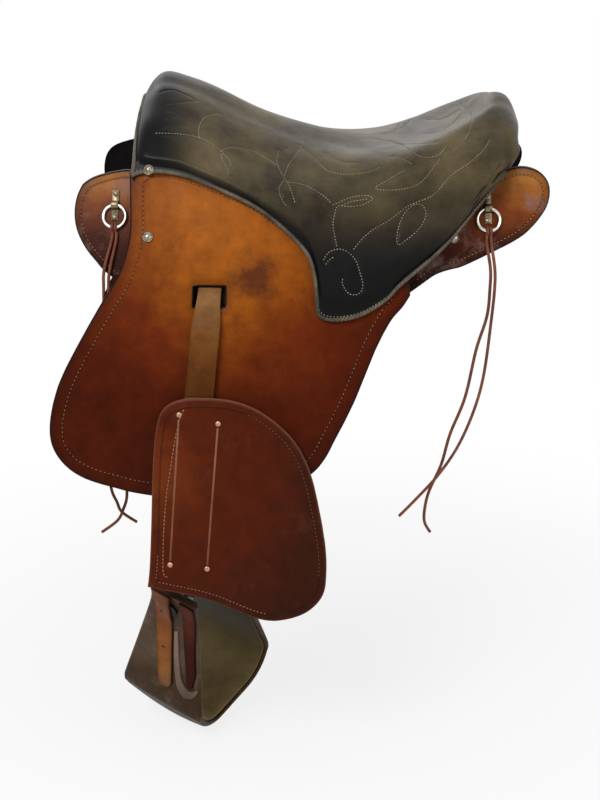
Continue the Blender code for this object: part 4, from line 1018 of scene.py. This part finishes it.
def tree_of(name):
    """The faces of a CAD node, to find the nearest place on it."""
    data = frame["nodes"][name].data
    return BVHTree.FromPolygons([v.co for v in data.vertices], [p.vertices for p in data.polygons])


edge_leather = leather("turned_edge_leather", ((0.0, "#4a443a"), (1.0, "#5d564a")), (-0.06, 0.20), 0.5,
                       wear_and_highlight=("#857c6c", 0.45, 0.8), grain=2.0)
near_border = near_edge_run(EDGE_ROLL)
border = near_border + seat[-1][1:-1] + mirrored(reversed(near_border)) + list(reversed(seat[0][1:-1]))
mesh = bmesh.new()
tube(mesh, evenly(border + border[:1], EDGE_ROLL_STEPS)[:-1], EDGE_ROLL, closed=True)
show("seat_turned_edge", mesh, edge_leather, "saddle")

mesh, whips = bmesh.new(), bmesh.new()
for side in SIDES.values():
    run = near_edge_run(FLANGE_STITCH_INSET)
    hits = [seat_tree.find_nearest(p)[:2] for p in stepped(run, FLANGE_STITCH_STEP)]
    lower, upper = near_edge_run(0.0, WHIP_START_X), near_edge_run(WHIP_REACH, WHIP_START_X)
    count = round(run_length(lower) / WHIP_STEP)
    laced = [(a, b, seat_tree.find_nearest(b)[1])
             for a, b in zip(evenly(lower, count), evenly(upper, count)[1:])]
    if side > 0:
        hits = [mirrored(pair) for pair in hits]
        laced = [mirrored(row) for row in laced]
    stitches(mesh, [p + n * THREAD_RADIUS * 0.4 for p, n in hits], [n for p, n in hits])
    for a, b, out in laced:
        stitches(whips, [a + out * (EDGE_ROLL + 0.0004), b + out * 0.0003], [out], 1.15, WHIP_RADIUS, 2)
show("seat_flange_stitches", mesh, grey_thread, "saddle")
show("seat_whipped_lace", whips, thread("edge_lace", "#3d3026", "#7d6a55"), "saddle")

flesh_side = leather("flesh_side", ((0.0, "#2c211a"), (1.0, "#3d3026")), (-0.06, 0.2), 0.85, grain=2.2)
flesh, flesh_out = ([column[::FLESH_SHARE] for column in grid[::FLESH_SHARE]] for grid in (seat, seat_out))
mesh = grid_mesh(len(flesh) - 1, len(flesh[0]) - 1, lambda i, j: flesh[i][j] - flesh_out[i][j] * COVER_THICK)
show("seat_cover_flesh_side", flipped(mesh), flesh_side, "saddle")

for name, column, board, shift, bulge in (
        ("pommel_facing", seat[0], "pommel_fork", Vector((0.03, 0, -0.022)), 0.005),
        ("cantle_facing", seat[-1], "cantle_board", Vector((-0.06, 0, -0.01)), -0.004)):
    board_tree = tree_of(board)
    outer = evenly(column, FACING_COLUMNS)
    inner = [board_tree.find_nearest(Vector((p.x, p.y * 0.93, p.z)) + shift)[0] for p in outer]
    mesh = grid_mesh(FACING_COLUMNS, FACING_STEPS, lambda i, j: outer[i].lerp(inner[i], j / FACING_STEPS)
                     - Vector((bulge * math.sin(math.pi * j / FACING_STEPS), 0, 0)))
    if name == "cantle_facing":
        flipped(mesh)
    bmesh.ops.solidify(mesh, geom=mesh.faces[:], thickness=FACING_THICK)
    show(name, mesh, seat_leather, "saddle", sharp=60)

# The pad under the cover: felted wool, 13 mm thick.
PAD_DEPTH = 0.0033
PAD_THICK = 0.0130
PAD_CELLS = 90
PAD_MARGIN = (12, 18, 20)
pad_grid = seat_surface(PAD_CELLS, PAD_CELLS)
pad_out = normals_of(pad_grid)
felt = fibrous("wool_felt", ("#8d8069", "#b5a88d"), (35, 6), (420, 8, 0.8), (0.8, 0.0015), 0.95,
               {"Sheen Weight": 0.3})
front, rear, side_margin = PAD_MARGIN
mesh = grid_mesh(PAD_CELLS - front - rear, PAD_CELLS - 2 * side_margin, lambda i, j:
                 pad_grid[i + front][j + side_margin] - pad_out[i + front][j + side_margin] * PAD_DEPTH)
bmesh.ops.solidify(mesh, geom=mesh.faces[:], thickness=PAD_THICK)
show("seat_pad_felt", mesh, felt, "saddle", ["seat_pad"])


# Stirrup leathers: harness straps of 36 mm that hang from the bars, come out through the flaps' slots
# and run down behind the fenders. Oiled tan-olive leather, 6 mm thick; its creases near the slot are not
# drawn.
STRAP_THICK = 0.0060
STRAP_OUT = 0.0287
STRAP_ROUNDING = 0.0016
LOOP_OUT = 0.0330
FLAP_THICK = 0.0050
LEATHER_X = -0.127
LEATHER_BEND_Z = -0.024
LEATHER_LEAN = math.tan(math.radians(5.71))
LEATHER_HALF_WIDTHS = (0.0145, 0.0180)
LEATHER_WIDE_Z = -0.066
LEATHER_ENDS = (-0.0180, -0.1447)
LEATHER_STEPS = 48
SLOT_LIP_Z = -0.0340
LEATHER_RISE_Z = -0.070


def closed_grid(columns, rows, place):
    """A solid from a sheet of cells whose long edges meet: its ends are filled."""
    mesh = grid_mesh(columns, rows, place)
    bmesh.ops.remove_doubles(mesh, verts=mesh.verts[:], dist=1e-6)
    bmesh.ops.holes_fill(mesh, edges=[e for e in mesh.edges if e.is_boundary])
    bmesh.ops.recalc_face_normals(mesh, faces=mesh.faces[:])
    return mesh


def strap(frames):
    """A strap with round edges, from frames of its middle, the way across it, the way out and half width."""
    section = []
    for sign_a, sign_h, start in ((1, 1, 0), (-1, 1, 90), (-1, -1, 180), (1, -1, 270)):
        for k in range(4):
            angle = math.radians(start + 30 * k)
            beyond = STRAP_ROUNDING * (math.cos(angle) - sign_a)
            height = (1 + sign_h) * STRAP_THICK / 2 + STRAP_ROUNDING * (math.sin(angle) - sign_h)
            section.append((sign_a, beyond, height))
    section.append(section[0])

    def strap_place(i, j):
        middle, across, out, half = frames[i]
        sign, rounded, height = section[j]
        return middle + across * (sign * half + rounded) + out * height

    return closed_grid(len(frames) - 1, len(section) - 1, strap_place)


strap_leather = leather("strap_leather_tan", ((0.0, "#4a2a10"), (0.35, "#5f3413"), (0.7, "#774a22"),
                        (1.0, "#87603a")), (-0.16, -0.02), 0.45, wear_and_highlight=("#9b7c4c", 0.58, 0.5), grain=1.3)
old_strap = leather("strap_leather_dark", ((0.0, "#3a2313"), (0.5, "#55351b"), (1.0, "#6a4523")),
                    (-0.42, -0.02), 0.55, grain=1.4)
for where, side in SIDES.items():
    frames = []
    for k in range(LEATHER_STEPS + 1):
        z = LEATHER_ENDS[0] + (LEATHER_ENDS[1] - LEATHER_ENDS[0]) * k / LEATHER_STEPS
        inside = min(1, max(0, (z - SLOT_LIP_Z) / (LEATHER_BEND_Z - SLOT_LIP_Z)))
        lower = ease(-z, -SLOT_Z[0], -LEATHER_RISE_Z)
        start = STRAP_OUT - (FLAP_THICK + STRAP_THICK + 0.0009) * inside + (LOOP_OUT - STRAP_OUT) * lower
        x = LEATHER_X + LEATHER_LEAN * (z - LEATHER_BEND_Z)
        narrow, wide = LEATHER_HALF_WIDTHS
        half = narrow + (wide - narrow) * ease(-z, -LEATHER_BEND_Z, -LEATHER_WIDE_Z)
        across = Vector((1, -side * x / SIDE_BEND_RADIUS, 0)).normalized()
        frames.append((on_side(x, z, start, side), across, Vector((0, side, 0)), half))
    show(f"stirrup_strap_{where}", strap(frames), strap_leather, f"leather_{where}",
         [f"stirrup_leather_{where}"])


# Fenders: dark red-brown sheets that keep the rider's leg off the leathers, 4.5 mm thick. A sleeve is
# riveted and sewn behind each one, which shows as two raised seams with a rivet at each end.
FENDER_STITCH_INSET = 0.0095
FENDER_STITCH_STEPS = (0.0050, 0.0046)
RIVETS = ((179, 415), (218, 424), (170, 565), (207, 569))
LEFT_STITCHES = ((184, 409), (178, 425), (171, 465), (165, 510), (163, 570), (168, 577))
LEFT_STITCH_RADIUS = 0.0008
RIVET_RADIUS = 0.0036
RIVET_PROFILE = ((0, 0.0016), (RIVET_RADIUS * 0.5, 0.0014), (RIVET_RADIUS * 0.85, 0.0008),
                 (RIVET_RADIUS, 0.0001), (RIVET_RADIUS, -0.0008), (0, -0.0008))
SEAM_RADIUS = 0.0014
SEAM_STEPS = 40


def photo_on_side(pixel, out):
    """The x and z where a pixel of the photograph lies on a sheet of the near side."""
    ray = photo_ray(*pixel).normalized()
    reach = 2.0
    for _ in range(30):
        spot = CAMERA_PLACE + ray * reach
        reach += (-(side_out(spot.x, spot.z) + out) - spot.y) / ray.y
    return Vector((spot.x, spot.z))


def dome(mesh, profile, place, steps=20):
    """Adds a round fastener, spun from its profile of radius and height. Tags mark what is in place."""
    made = [mesh.verts.new((r, 0, h)) for r, h in profile]
    edges = [mesh.edges.new(pair) for pair in zip(made, made[1:])]
    bmesh.ops.spin(mesh, geom=made + edges, cent=(0, 0, 0), axis=(0, 0, 1), angle=2 * math.pi,
                   steps=steps, use_merge=True)
    bmesh.ops.remove_doubles(mesh, verts=[v for v in mesh.verts if not v.tag], dist=1e-6)
    fresh = [v for v in mesh.verts if not v.tag]
    bmesh.ops.transform(mesh, matrix=place, verts=fresh)
    for vert in fresh:
        vert.tag = True


def metal(name, first, second, roughness):
    """Plated metal with tarnish, fine scratches and worn spots."""
    made, tree, where = blank_material(name)
    colour = blended(tree, noise(tree, where, 160, 7, 0.7), first, second)
    shine = noise(tree, where, 220, 5, 0.6, result=(roughness - 0.06, roughness + 0.12))
    return finish(made, colour, shine, (cloud(tree, where, 1500, 5), 0.12, 0.0002), {"Metallic": 1.0})


# The fenders' pale pink edge colour is a painted highlight along their edges.
fender_leather = leather("fender_leather_dark", ((0.0, "#3a1505"), (0.35, "#4f1a04"), (0.7, "#561d05"),
                         (1.0, "#703010")), (-0.20, -0.02), 0.36, edge="#7d5040", edge_width=0.0006,
                         groove=FENDER_STITCH_INSET, wear_and_highlight=("#6e3820", 0.58, 0.5), coat=0.08,
                         centre=(-0.19, 0, -0.25))
rivet_metal = metal("copper_rivet", "#8a6656", "#d0a894", 0.35)
dark_thread = thread("dark_thread", "#3d2010", "#6e4322")
# The raised seams are drawn paler than the fender: a painted highlight along their ridges.
lit_seam_leather = leather("lit_seam_leather", ((0.0, "#7d4a32"), (1.0, "#a06c54")), (-0.42, -0.15), 0.42)
for where, side in SIDES.items():
    body = f"fender_{where}"
    laid = lay_sheet(f"fender_sheet_{where}", f"fender_{where}", side, fender_leather, body)
    lay_sheet(f"sleeve_sheet_{where}", f"fender_sleeve_{where}", side, fender_leather, body,
              smoothing=(0.004, 4))
    stitched_rim(f"fender_stitches_{where}", laid, FENDER_STITCH_INSET, FENDER_STITCH_STEPS[0], dark_thread,
                 body, lambda x, z: x > -0.08 and z > -0.37)
    stitched_rim(f"fender_low_stitches_{where}", laid, FENDER_STITCH_INSET, FENDER_STITCH_STEPS[1],
                 brown_thread, body, lambda x, z: x < -0.055 and z < -0.34)
    out = laid[2] + laid[3]
    spots = [photo_on_side(p, out) for p in RIVETS]
    rivets, seams, row = bmesh.new(), bmesh.new(), bmesh.new()
    for spot in spots:
        dome(rivets, RIVET_PROFILE, surface_place(*spot, out, side))
    for a, b in zip(spots, spots[2:]):
        line = [on_side(*a.lerp(b, 0.03 + 0.94 * k / SEAM_STEPS), out - SEAM_RADIUS * 0.35, side)
                for k in range(SEAM_STEPS + 1)]
        tube(seams, line, SEAM_RADIUS)
    left = smooth_run([photo_on_side(p, out) for p in LEFT_STITCHES], 6)
    left = stepped(left, FENDER_STITCH_STEPS[0])
    left = [surface_place(*p, out + THREAD_RADIUS * 0.4, side) for p in left]
    stitches(row, [m.to_translation() for m in left], [m.to_3x3() @ Vector((0, 0, 1)) for m in left], 0.8,
             LEFT_STITCH_RADIUS, 2)
    show(f"fender_rivets_{where}", rivets, rivet_metal, body)
    show(f"fender_seams_{where}", seams, lit_seam_leather, body)
    show(f"fender_seam_stitches_{where}", row, brown_thread, body)


# Stirrups: bent wood bands with a dark leather cover drawn round them, olive suede inside, hung on a
# steel bolt. A tan strap end with two holes, a darker strap and a folded edge lie on the outer branch:
# their outlines give the depth and the level of each point from the bolt.
BOLT_PLACE = (-0.150, 0.226, -0.416)
STIRRUP_TURN = math.radians(54)
STIRRUP_RISE = math.radians(19)
STIRRUP_PITCH = math.radians(16)
STIRRUP_TOP_HALF = 0.052
STIRRUP_LOW_HALF = 0.080
STIRRUP_HEIGHT = 0.198
STIRRUP_CORNER = 0.050
STIRRUP_TOP_DEPTH = 0.074
STIRRUP_LOW_DEPTH = 0.130
STIRRUP_CROWN = 0.017
STIRRUP_THICK = 0.0108
BRANCH_ABOVE_BOLT = 0.024
SUEDE_THICK = 0.0026
SUEDE_NARROWER = 0.004
TAIL_TOP = 0.022
TAIL_LENGTH = 0.150
TAIL_HALF = (0.0150, 0.0115)
TAIL_MIDDLE = -0.0180
TAIL_THICK = 0.0030
TAIL_LEAN = 0.021
TAIL_HOLE_LEVELS = (-0.008, -0.066)
TAIL_HOLE_RADIUS = 0.0026
BOLT_HEAD_RADIUS = 0.0085
BOLT_HEAD_HEIGHT = 0.0034
BOLT_SLOPE = 0.014
BRANCH_CLEAR = 0.0003
HOLE_CLEAR = 0.0001
RED_STRAP = ((0.012, 0.022), (0.035, 0.022), (0.042, -0.046), (0.049, -0.085), (0.0465, -0.107),
             (0.042, -0.111), (0.037, -0.106), (0.024, -0.046))
COVER_FOLD = ((0.007, -0.034), (0.012, -0.032), (0.019, -0.070), (0.0255, -0.098), (0.032, -0.110),
              (0.041, -0.1155), (0.049, -0.112), (0.054, -0.105), (0.0555, -0.110), (0.052, -0.119),
              (0.045, -0.126), (0.036, -0.128), (0.0275, -0.123), (0.021, -0.113), (0.015, -0.090),
              (0.010, -0.062))


def stirrup_place(side):
    """The matrix that puts the stirrup's own directions, across, depth and up, at its bolt."""
    across = Vector((math.cos(STIRRUP_RISE) * math.cos(STIRRUP_TURN),
                     math.cos(STIRRUP_RISE) * math.sin(STIRRUP_TURN), math.sin(STIRRUP_RISE)))
    level = Vector((math.sin(STIRRUP_TURN), -math.cos(STIRRUP_TURN), 0))
    depth = level * math.cos(STIRRUP_PITCH) - level.cross(across) * math.sin(STIRRUP_PITCH)
    axes = [Vector((v.x, -side * v.y, v.z)) for v in (across, depth, depth.cross(across))]
    x, y, z = BOLT_PLACE
    return Matrix.Translation((x, side * y, z)) @ Matrix(axes).transposed().to_4x4()


def stirrup_line():
    """The stirrup's outer line, across and up, from one branch's top round the tread to the other's."""
    half = [(-STIRRUP_TOP_HALF, BRANCH_ABOVE_BOLT), (-STIRRUP_TOP_HALF, -0.012),
            (-(STIRRUP_TOP_HALF + STIRRUP_LOW_HALF) / 2, -STIRRUP_HEIGHT * 0.42)]
    for k in range(6):
        angle = math.radians(180 + 90 * k / 5)
        half.append((-STIRRUP_LOW_HALF + STIRRUP_CORNER + STIRRUP_CORNER * math.cos(angle),
                     -STIRRUP_HEIGHT + STIRRUP_CORNER + STIRRUP_CORNER * math.sin(angle)))
    return smooth_run([*half, (0, -STIRRUP_HEIGHT), *[(-a, b) for a, b in reversed(half)]], 6)


def stirrup_half_depth(level):
    """Half the stirrup's depth, which grows from its branches' tops to the tread."""
    share = min(1, max(0, -level / (STIRRUP_HEIGHT - STIRRUP_CORNER)))
    return (STIRRUP_TOP_DEPTH + (STIRRUP_LOW_DEPTH - STIRRUP_TOP_DEPTH) * share) / 2


def stirrup_band(side, low, high, narrower, crowned):
    """One layer of the stirrup between two depths under its outer face, its edges round."""
    line = stirrup_line()
    rounding = (high - low) / 2
    arc = [(rounding * math.sin(math.radians(a)), rounding * math.cos(math.radians(a)))
           for a in range(30, 180, 30)]
    section = [(k / 8 - 1, 0, 0) for k in range(17)]
    section += [(1, a, rounding - b) for a, b in arc]
    section += [(1 - k / 8, 0, 2 * rounding) for k in range(17)]
    section += [(-1, -a, rounding + b) for a, b in arc]
    section.append(section[0])
    matrix = stirrup_place(side)

    def band_place(i, j):
        f, beyond, under = section[j]
        spot = line[i]
        along = (line[min(i + 1, len(line) - 1)] - line[max(i - 1, 0)]).normalized()
        depth = f * (stirrup_half_depth(spot.y) - narrower - rounding) + beyond
        a, b = spot + Vector((-along.y, along.x)) * (low + under)
        drop = STIRRUP_CROWN * max(0, -spot.y - STIRRUP_HEIGHT + STIRRUP_CORNER) / STIRRUP_CORNER
        fade = 1 if crowned else 1 - under / (2 * rounding)
        b -= drop * (1 - (depth / stirrup_half_depth(spot.y)) ** 2) * fade
        return matrix @ Vector((a, depth, b))

    return closed_grid(len(line) - 1, len(section) - 1, band_place)


def on_branch(side):
    """The place function of a strap on the outer branch, by its depth, its level and a height."""
    matrix = stirrup_place(side)
    line = stirrup_line()

    def place(depth, level, height):
        across = line[0].x
        for a, b in zip(line, line[1:]):
            if b.y <= level <= a.y:
                across = a.lerp(b, (level - a.y) / (b.y - a.y)).x
                break
        return matrix @ Vector((across - BRANCH_CLEAR - height, depth, level))

    return place


def over_bolt(place):
    """The same place function, raised over the bolt's head."""
    def raised(depth, level, height):
        off = ease(math.hypot(depth, level), BOLT_HEAD_RADIUS, BOLT_HEAD_RADIUS + BOLT_SLOPE)
        return place(depth, level, height + BOLT_HEAD_HEIGHT * (1 - off))

    return raised


cover_leather = leather("stirrup_cover_leather", ((0.0, "#392408"), (0.35, "#46311c"), (0.6, "#5d4a3b"),
                        (1.0, "#4a3325")), (-0.61, -0.42), 0.40, wear_and_highlight=("#7a6656", 0.52, 0.7), coat=0.12)
tail_leather = leather("strap_end_leather", ((0.0, "#7d5a48"), (0.3, "#96602f"), (0.7, "#8f542c"),
                       (1.0, "#7d4a34")), (-0.57, -0.42), 0.42, edge="#3a2114", edge_width=0.0012,
                       wear_and_highlight=("#b08468", 0.56, 0.6))
red_strap = leather("strap_red_brown", ((0.0, "#2b1009"), (0.6, "#45180c"), (1.0, "#5a2c1a")),
                    (-0.58, -0.42), 0.45, edge="#120705", edge_width=0.0012)
# The folded edge is drawn much paler than the cover it is turned from: a painted highlight.
lit_fold_leather = leather("lit_fold_leather", ((0.0, "#6b5648"), (1.0, "#94806f")), (-0.58, -0.42), 0.4)
suede, tree, spot = blank_material("olive_suede")
colour = blended(tree, noise(tree, spot, 24, 8, 0.72), "#5d4d26", "#86703f")
height = node(tree, "ShaderNodeSeparateXYZ", {0: spot}).outputs["Z"]
# Painted shade: the suede turns near black higher up the branches.
colour = blended(tree, mapped(tree, height, (-0.60, -0.47)), colour, "#23221a")
finish(suede, colour, 0.9, (cloud(tree, spot, 700, 8, 0.8), 0.7, 0.0008),
       {"Sheen Weight": 0.08, "Sheen Roughness": 0.5})
blackened = metal("blackened_steel", "#1c1b1a", "#3a3633", 0.45)
# Holes are flat near-black discs laid on the straps' faces: painted shade for each hole.
hole_shade_disc = finish(blank_material("punched_hole_shade")[0], linear("#0c0705"), 0.95)
for where, side in SIDES.items():
    body = f"stirrup_{where}"
    wood_out = STIRRUP_THICK - SUEDE_THICK
    show(f"stirrup_cover_band_{where}", stirrup_band(side, 0, wood_out, 0, True), cover_leather, body,
         [f"stirrup_cover_{where}"], sharp=60)
    show(f"stirrup_suede_{where}", stirrup_band(side, wood_out, STIRRUP_THICK, SUEDE_NARROWER, False), suede,
         body, [f"stirrup_wood_{where}"], sharp=60)
    place = on_branch(side)
    tail_place = over_bolt(place)
    end = [(TAIL_MIDDLE - TAIL_HALF[0], TAIL_TOP), (TAIL_MIDDLE + TAIL_HALF[0], TAIL_TOP)]
    for k in range(13):
        angle = math.radians(-180 * k / 12)
        end.append((TAIL_MIDDLE + TAIL_LEAN + TAIL_HALF[1] * math.cos(angle),
                    TAIL_TOP - TAIL_LENGTH + TAIL_HALF[1] * (1 + math.sin(angle))))
    tail_rim = Rim(smooth_rim([Vector(p) for p in end], 0.003, 3))
    show(f"strap_end_{where}", sheet(tail_rim, tail_place, TAIL_THICK, 0.004), tail_leather, body,
         [f"leather_tail_{where}"])
    for name, points, thick, material in (("red_strap", RED_STRAP, 0.0022, red_strap),
                                          ("cover_fold", COVER_FOLD, 0.0026, lit_fold_leather)):
        rim = Rim(smooth_rim([Vector(p) for p in points], 0.003, 6))
        show(f"{name}_{where}", sheet(rim, place, thick, 0.006), material, body)
    # The strap end's two holes: near-black discs on its face, painted shade.
    holes = bmesh.new()
    for level in TAIL_HOLE_LEVELS:
        middle = TAIL_MIDDLE + TAIL_LEAN * (TAIL_TOP - level) / TAIL_LENGTH
        out = (place(middle, level, 0.01) - place(middle, level, 0)).normalized()
        hole_place = Matrix.Translation(tail_place(middle, level, TAIL_THICK + HOLE_CLEAR))
        bmesh.ops.create_circle(holes, cap_ends=True, segments=16, radius=TAIL_HOLE_RADIUS,
                                matrix=hole_place @ out.to_track_quat("Z", "Y").to_matrix().to_4x4())
    show(f"strap_holes_{where}", holes, hole_shade_disc, body)


# Rings and clips: plain nickel rings of 33 mm, each held by a small strap of plated brass with a screw
# at either end. Domed ornament screws of 14 mm hold the seat's corner, the flap and the rear skirt.
SCREW_PLACES = {"seat_screw": ((-0.203, 0.121), 0.0332), "flap_screw": ((-0.204, 0.042), 0.0284),
                "skirt_screw": ((0.178, 0.038), 0.0088)}
SCREW_RADIUS = 0.0070
SCREW_CLEAR = 0.0007
SCREW_PROFILE = ((0, 0.0038), (0.0022, 0.0036), (0.0040, 0.0026), (0.0047, 0.0015), (0.0052, 0.0013),
                 (0.0060, 0.0017), (0.0067, 0.0012), (SCREW_RADIUS, 0.0004), (SCREW_RADIUS, 0), (0, 0))
CLIP_SCREW_PROFILE = ((0, 0.0020), (0.0018, 0.0018), (0.0034, 0.0010), (0.0038, 0.0), (0, 0))
CLIP_SCREW_AT = 0.0150
CLIP_THICK = 0.0015
CLIP_BEVEL = 0.0003
nickel = metal("nickel_plate", "#a9a59a", "#e6e2d8", 0.18)
old_nickel = metal("antique_nickel", "#4a443a", "#aca392", 0.28)
old_brass = metal("tarnished_brass", "#4a3d2c", "#8f8168", 0.3)
for where, side in SIDES.items():
    for end, (x, z) in RING_SEATS.items():
        ring_seat = surface_place(x, z, BAR_OUT, side)
        ring = bmesh.new()
        upright = Matrix.Translation((RING_RADIUS, 0, 0)) @ Matrix.Rotation(math.radians(90), 4, "X")
        circle = bmesh.ops.create_circle(ring, segments=16, radius=RING_WIRE, matrix=upright)["verts"]
        edges = list(dict.fromkeys(e for v in circle for e in v.link_edges))
        bmesh.ops.spin(ring, geom=circle + edges, cent=(0, 0, 0), axis=(0, 0, 1), angle=2 * math.pi,
                       steps=56, use_merge=True)
        bmesh.ops.recalc_face_normals(ring, faces=ring.faces[:])
        shift = Matrix.Translation((0, -RING_RADIUS, WIRE_OUT))
        bmesh.ops.transform(ring, matrix=ring_seat @ shift, verts=ring.verts[:])
        show(f"ring_{end}_{where}", ring, nickel, f"ring_{end}_{where}", [f"string_ring_{end}_{where}"])
        clip = bmesh.new()
        clip.from_mesh(frame["nodes"][f"ring_clip_{end}_{where}"].data)
        bmesh.ops.remove_doubles(clip, verts=clip.verts[:], dist=1e-6)
        bmesh.ops.dissolve_limit(clip, angle_limit=0.01, verts=clip.verts[:], edges=clip.edges[:])
        sides = [e for e in clip.edges if e.calc_face_angle(0) > math.radians(60)]
        bmesh.ops.bevel(clip, geom=sides, offset=CLIP_BEVEL, segments=2, profile=0.5, affect="EDGES",
                        material=-1)
        show(f"clip_{end}_{where}", clip, old_brass, "saddle", [f"ring_clip_{end}_{where}"])
        heads = bmesh.new()
        for at in (-CLIP_SCREW_AT, CLIP_SCREW_AT):
            dome(heads, CLIP_SCREW_PROFILE, ring_seat @ Matrix.Translation((0, at, CLIP_THICK)), 16)
        show(f"clip_screws_{end}_{where}", heads, old_brass, "saddle")
    for kind, ((x, z), out) in SCREW_PLACES.items():
        head = bmesh.new()
        dome(head, SCREW_PROFILE, surface_place(x, z, out + SCREW_CLEAR, side), 32)
        show(f"{kind}_head_{where}", head, old_nickel, "saddle", [f"{kind}_{where}"])


# Girth billets: straps of 25 mm that hang from the bars under the flaps, with holes for a buckle.
BILLET_HOLES = (-0.150, -0.175, -0.200, -0.225, -0.250)
BILLET_HOLE_RADIUS = 0.0022
for where, side in SIDES.items():
    for end in ("front", "rear"):
        node_name, body = f"girth_billet_{end}_{where}", f"billet_{end}_{where}"
        start, thick = lay_sheet(body, node_name, side, old_strap, body, smoothing=(0.003, 3, 50))[2:]
        places = [p.x for p in outline_of(node_name, side)]
        middle = (min(places) + max(places)) / 2
        holes = bmesh.new()
        # Each billet hole is a near-black disc on both faces: painted shade.
        for z in BILLET_HOLES:
            for height, turn in ((thick + HOLE_CLEAR, 0), (-HOLE_CLEAR, math.pi)):
                spot = surface_place(middle, z, start + height, side) @ Matrix.Rotation(turn, 4, "X")
                bmesh.ops.create_circle(holes, cap_ends=True, segments=14, radius=BILLET_HOLE_RADIUS,
                                        matrix=spot)
        show(f"billet_holes_{end}_{where}", holes, hole_shade_disc, body)


# The tree and what stays hidden: wood bars, fork and cantle board under varnish, a steel gullet plate,
# the ground seat of stiff leather, and the lower runs of the stirrup leathers.
wood, tree, spot = blank_material("varnished_wood")
grain = node(tree, "ShaderNodeTexWave", {"Vector": spot, "Scale": 55, "Distortion": 5.0, "Detail": 4,
             "Detail Scale": 2.0}, bands_direction="Z").outputs["Fac"]
finish(wood, blended(tree, grain, "#6b4a28", "#a87f4e"), noise(tree, spot, 30, 4, 0.6, result=(0.4, 0.65)),
       (grain, 0.25, 0.0006))
FINISHES = {"tree_bar": wood, "pommel_fork": wood, "cantle_board": wood,
            "gullet_plate": metal("bare_steel", "#55524d", "#8a8781", 0.38), "ground_seat": old_strap,
            "leather_anchor": old_strap, "leather_loop": old_strap, "stirrup_bolt": blackened}
for name, part in frame["nodes"].items():
    for start, material in FINISHES.items():
        if name.startswith(start):
            part.material_slots[0].material = material
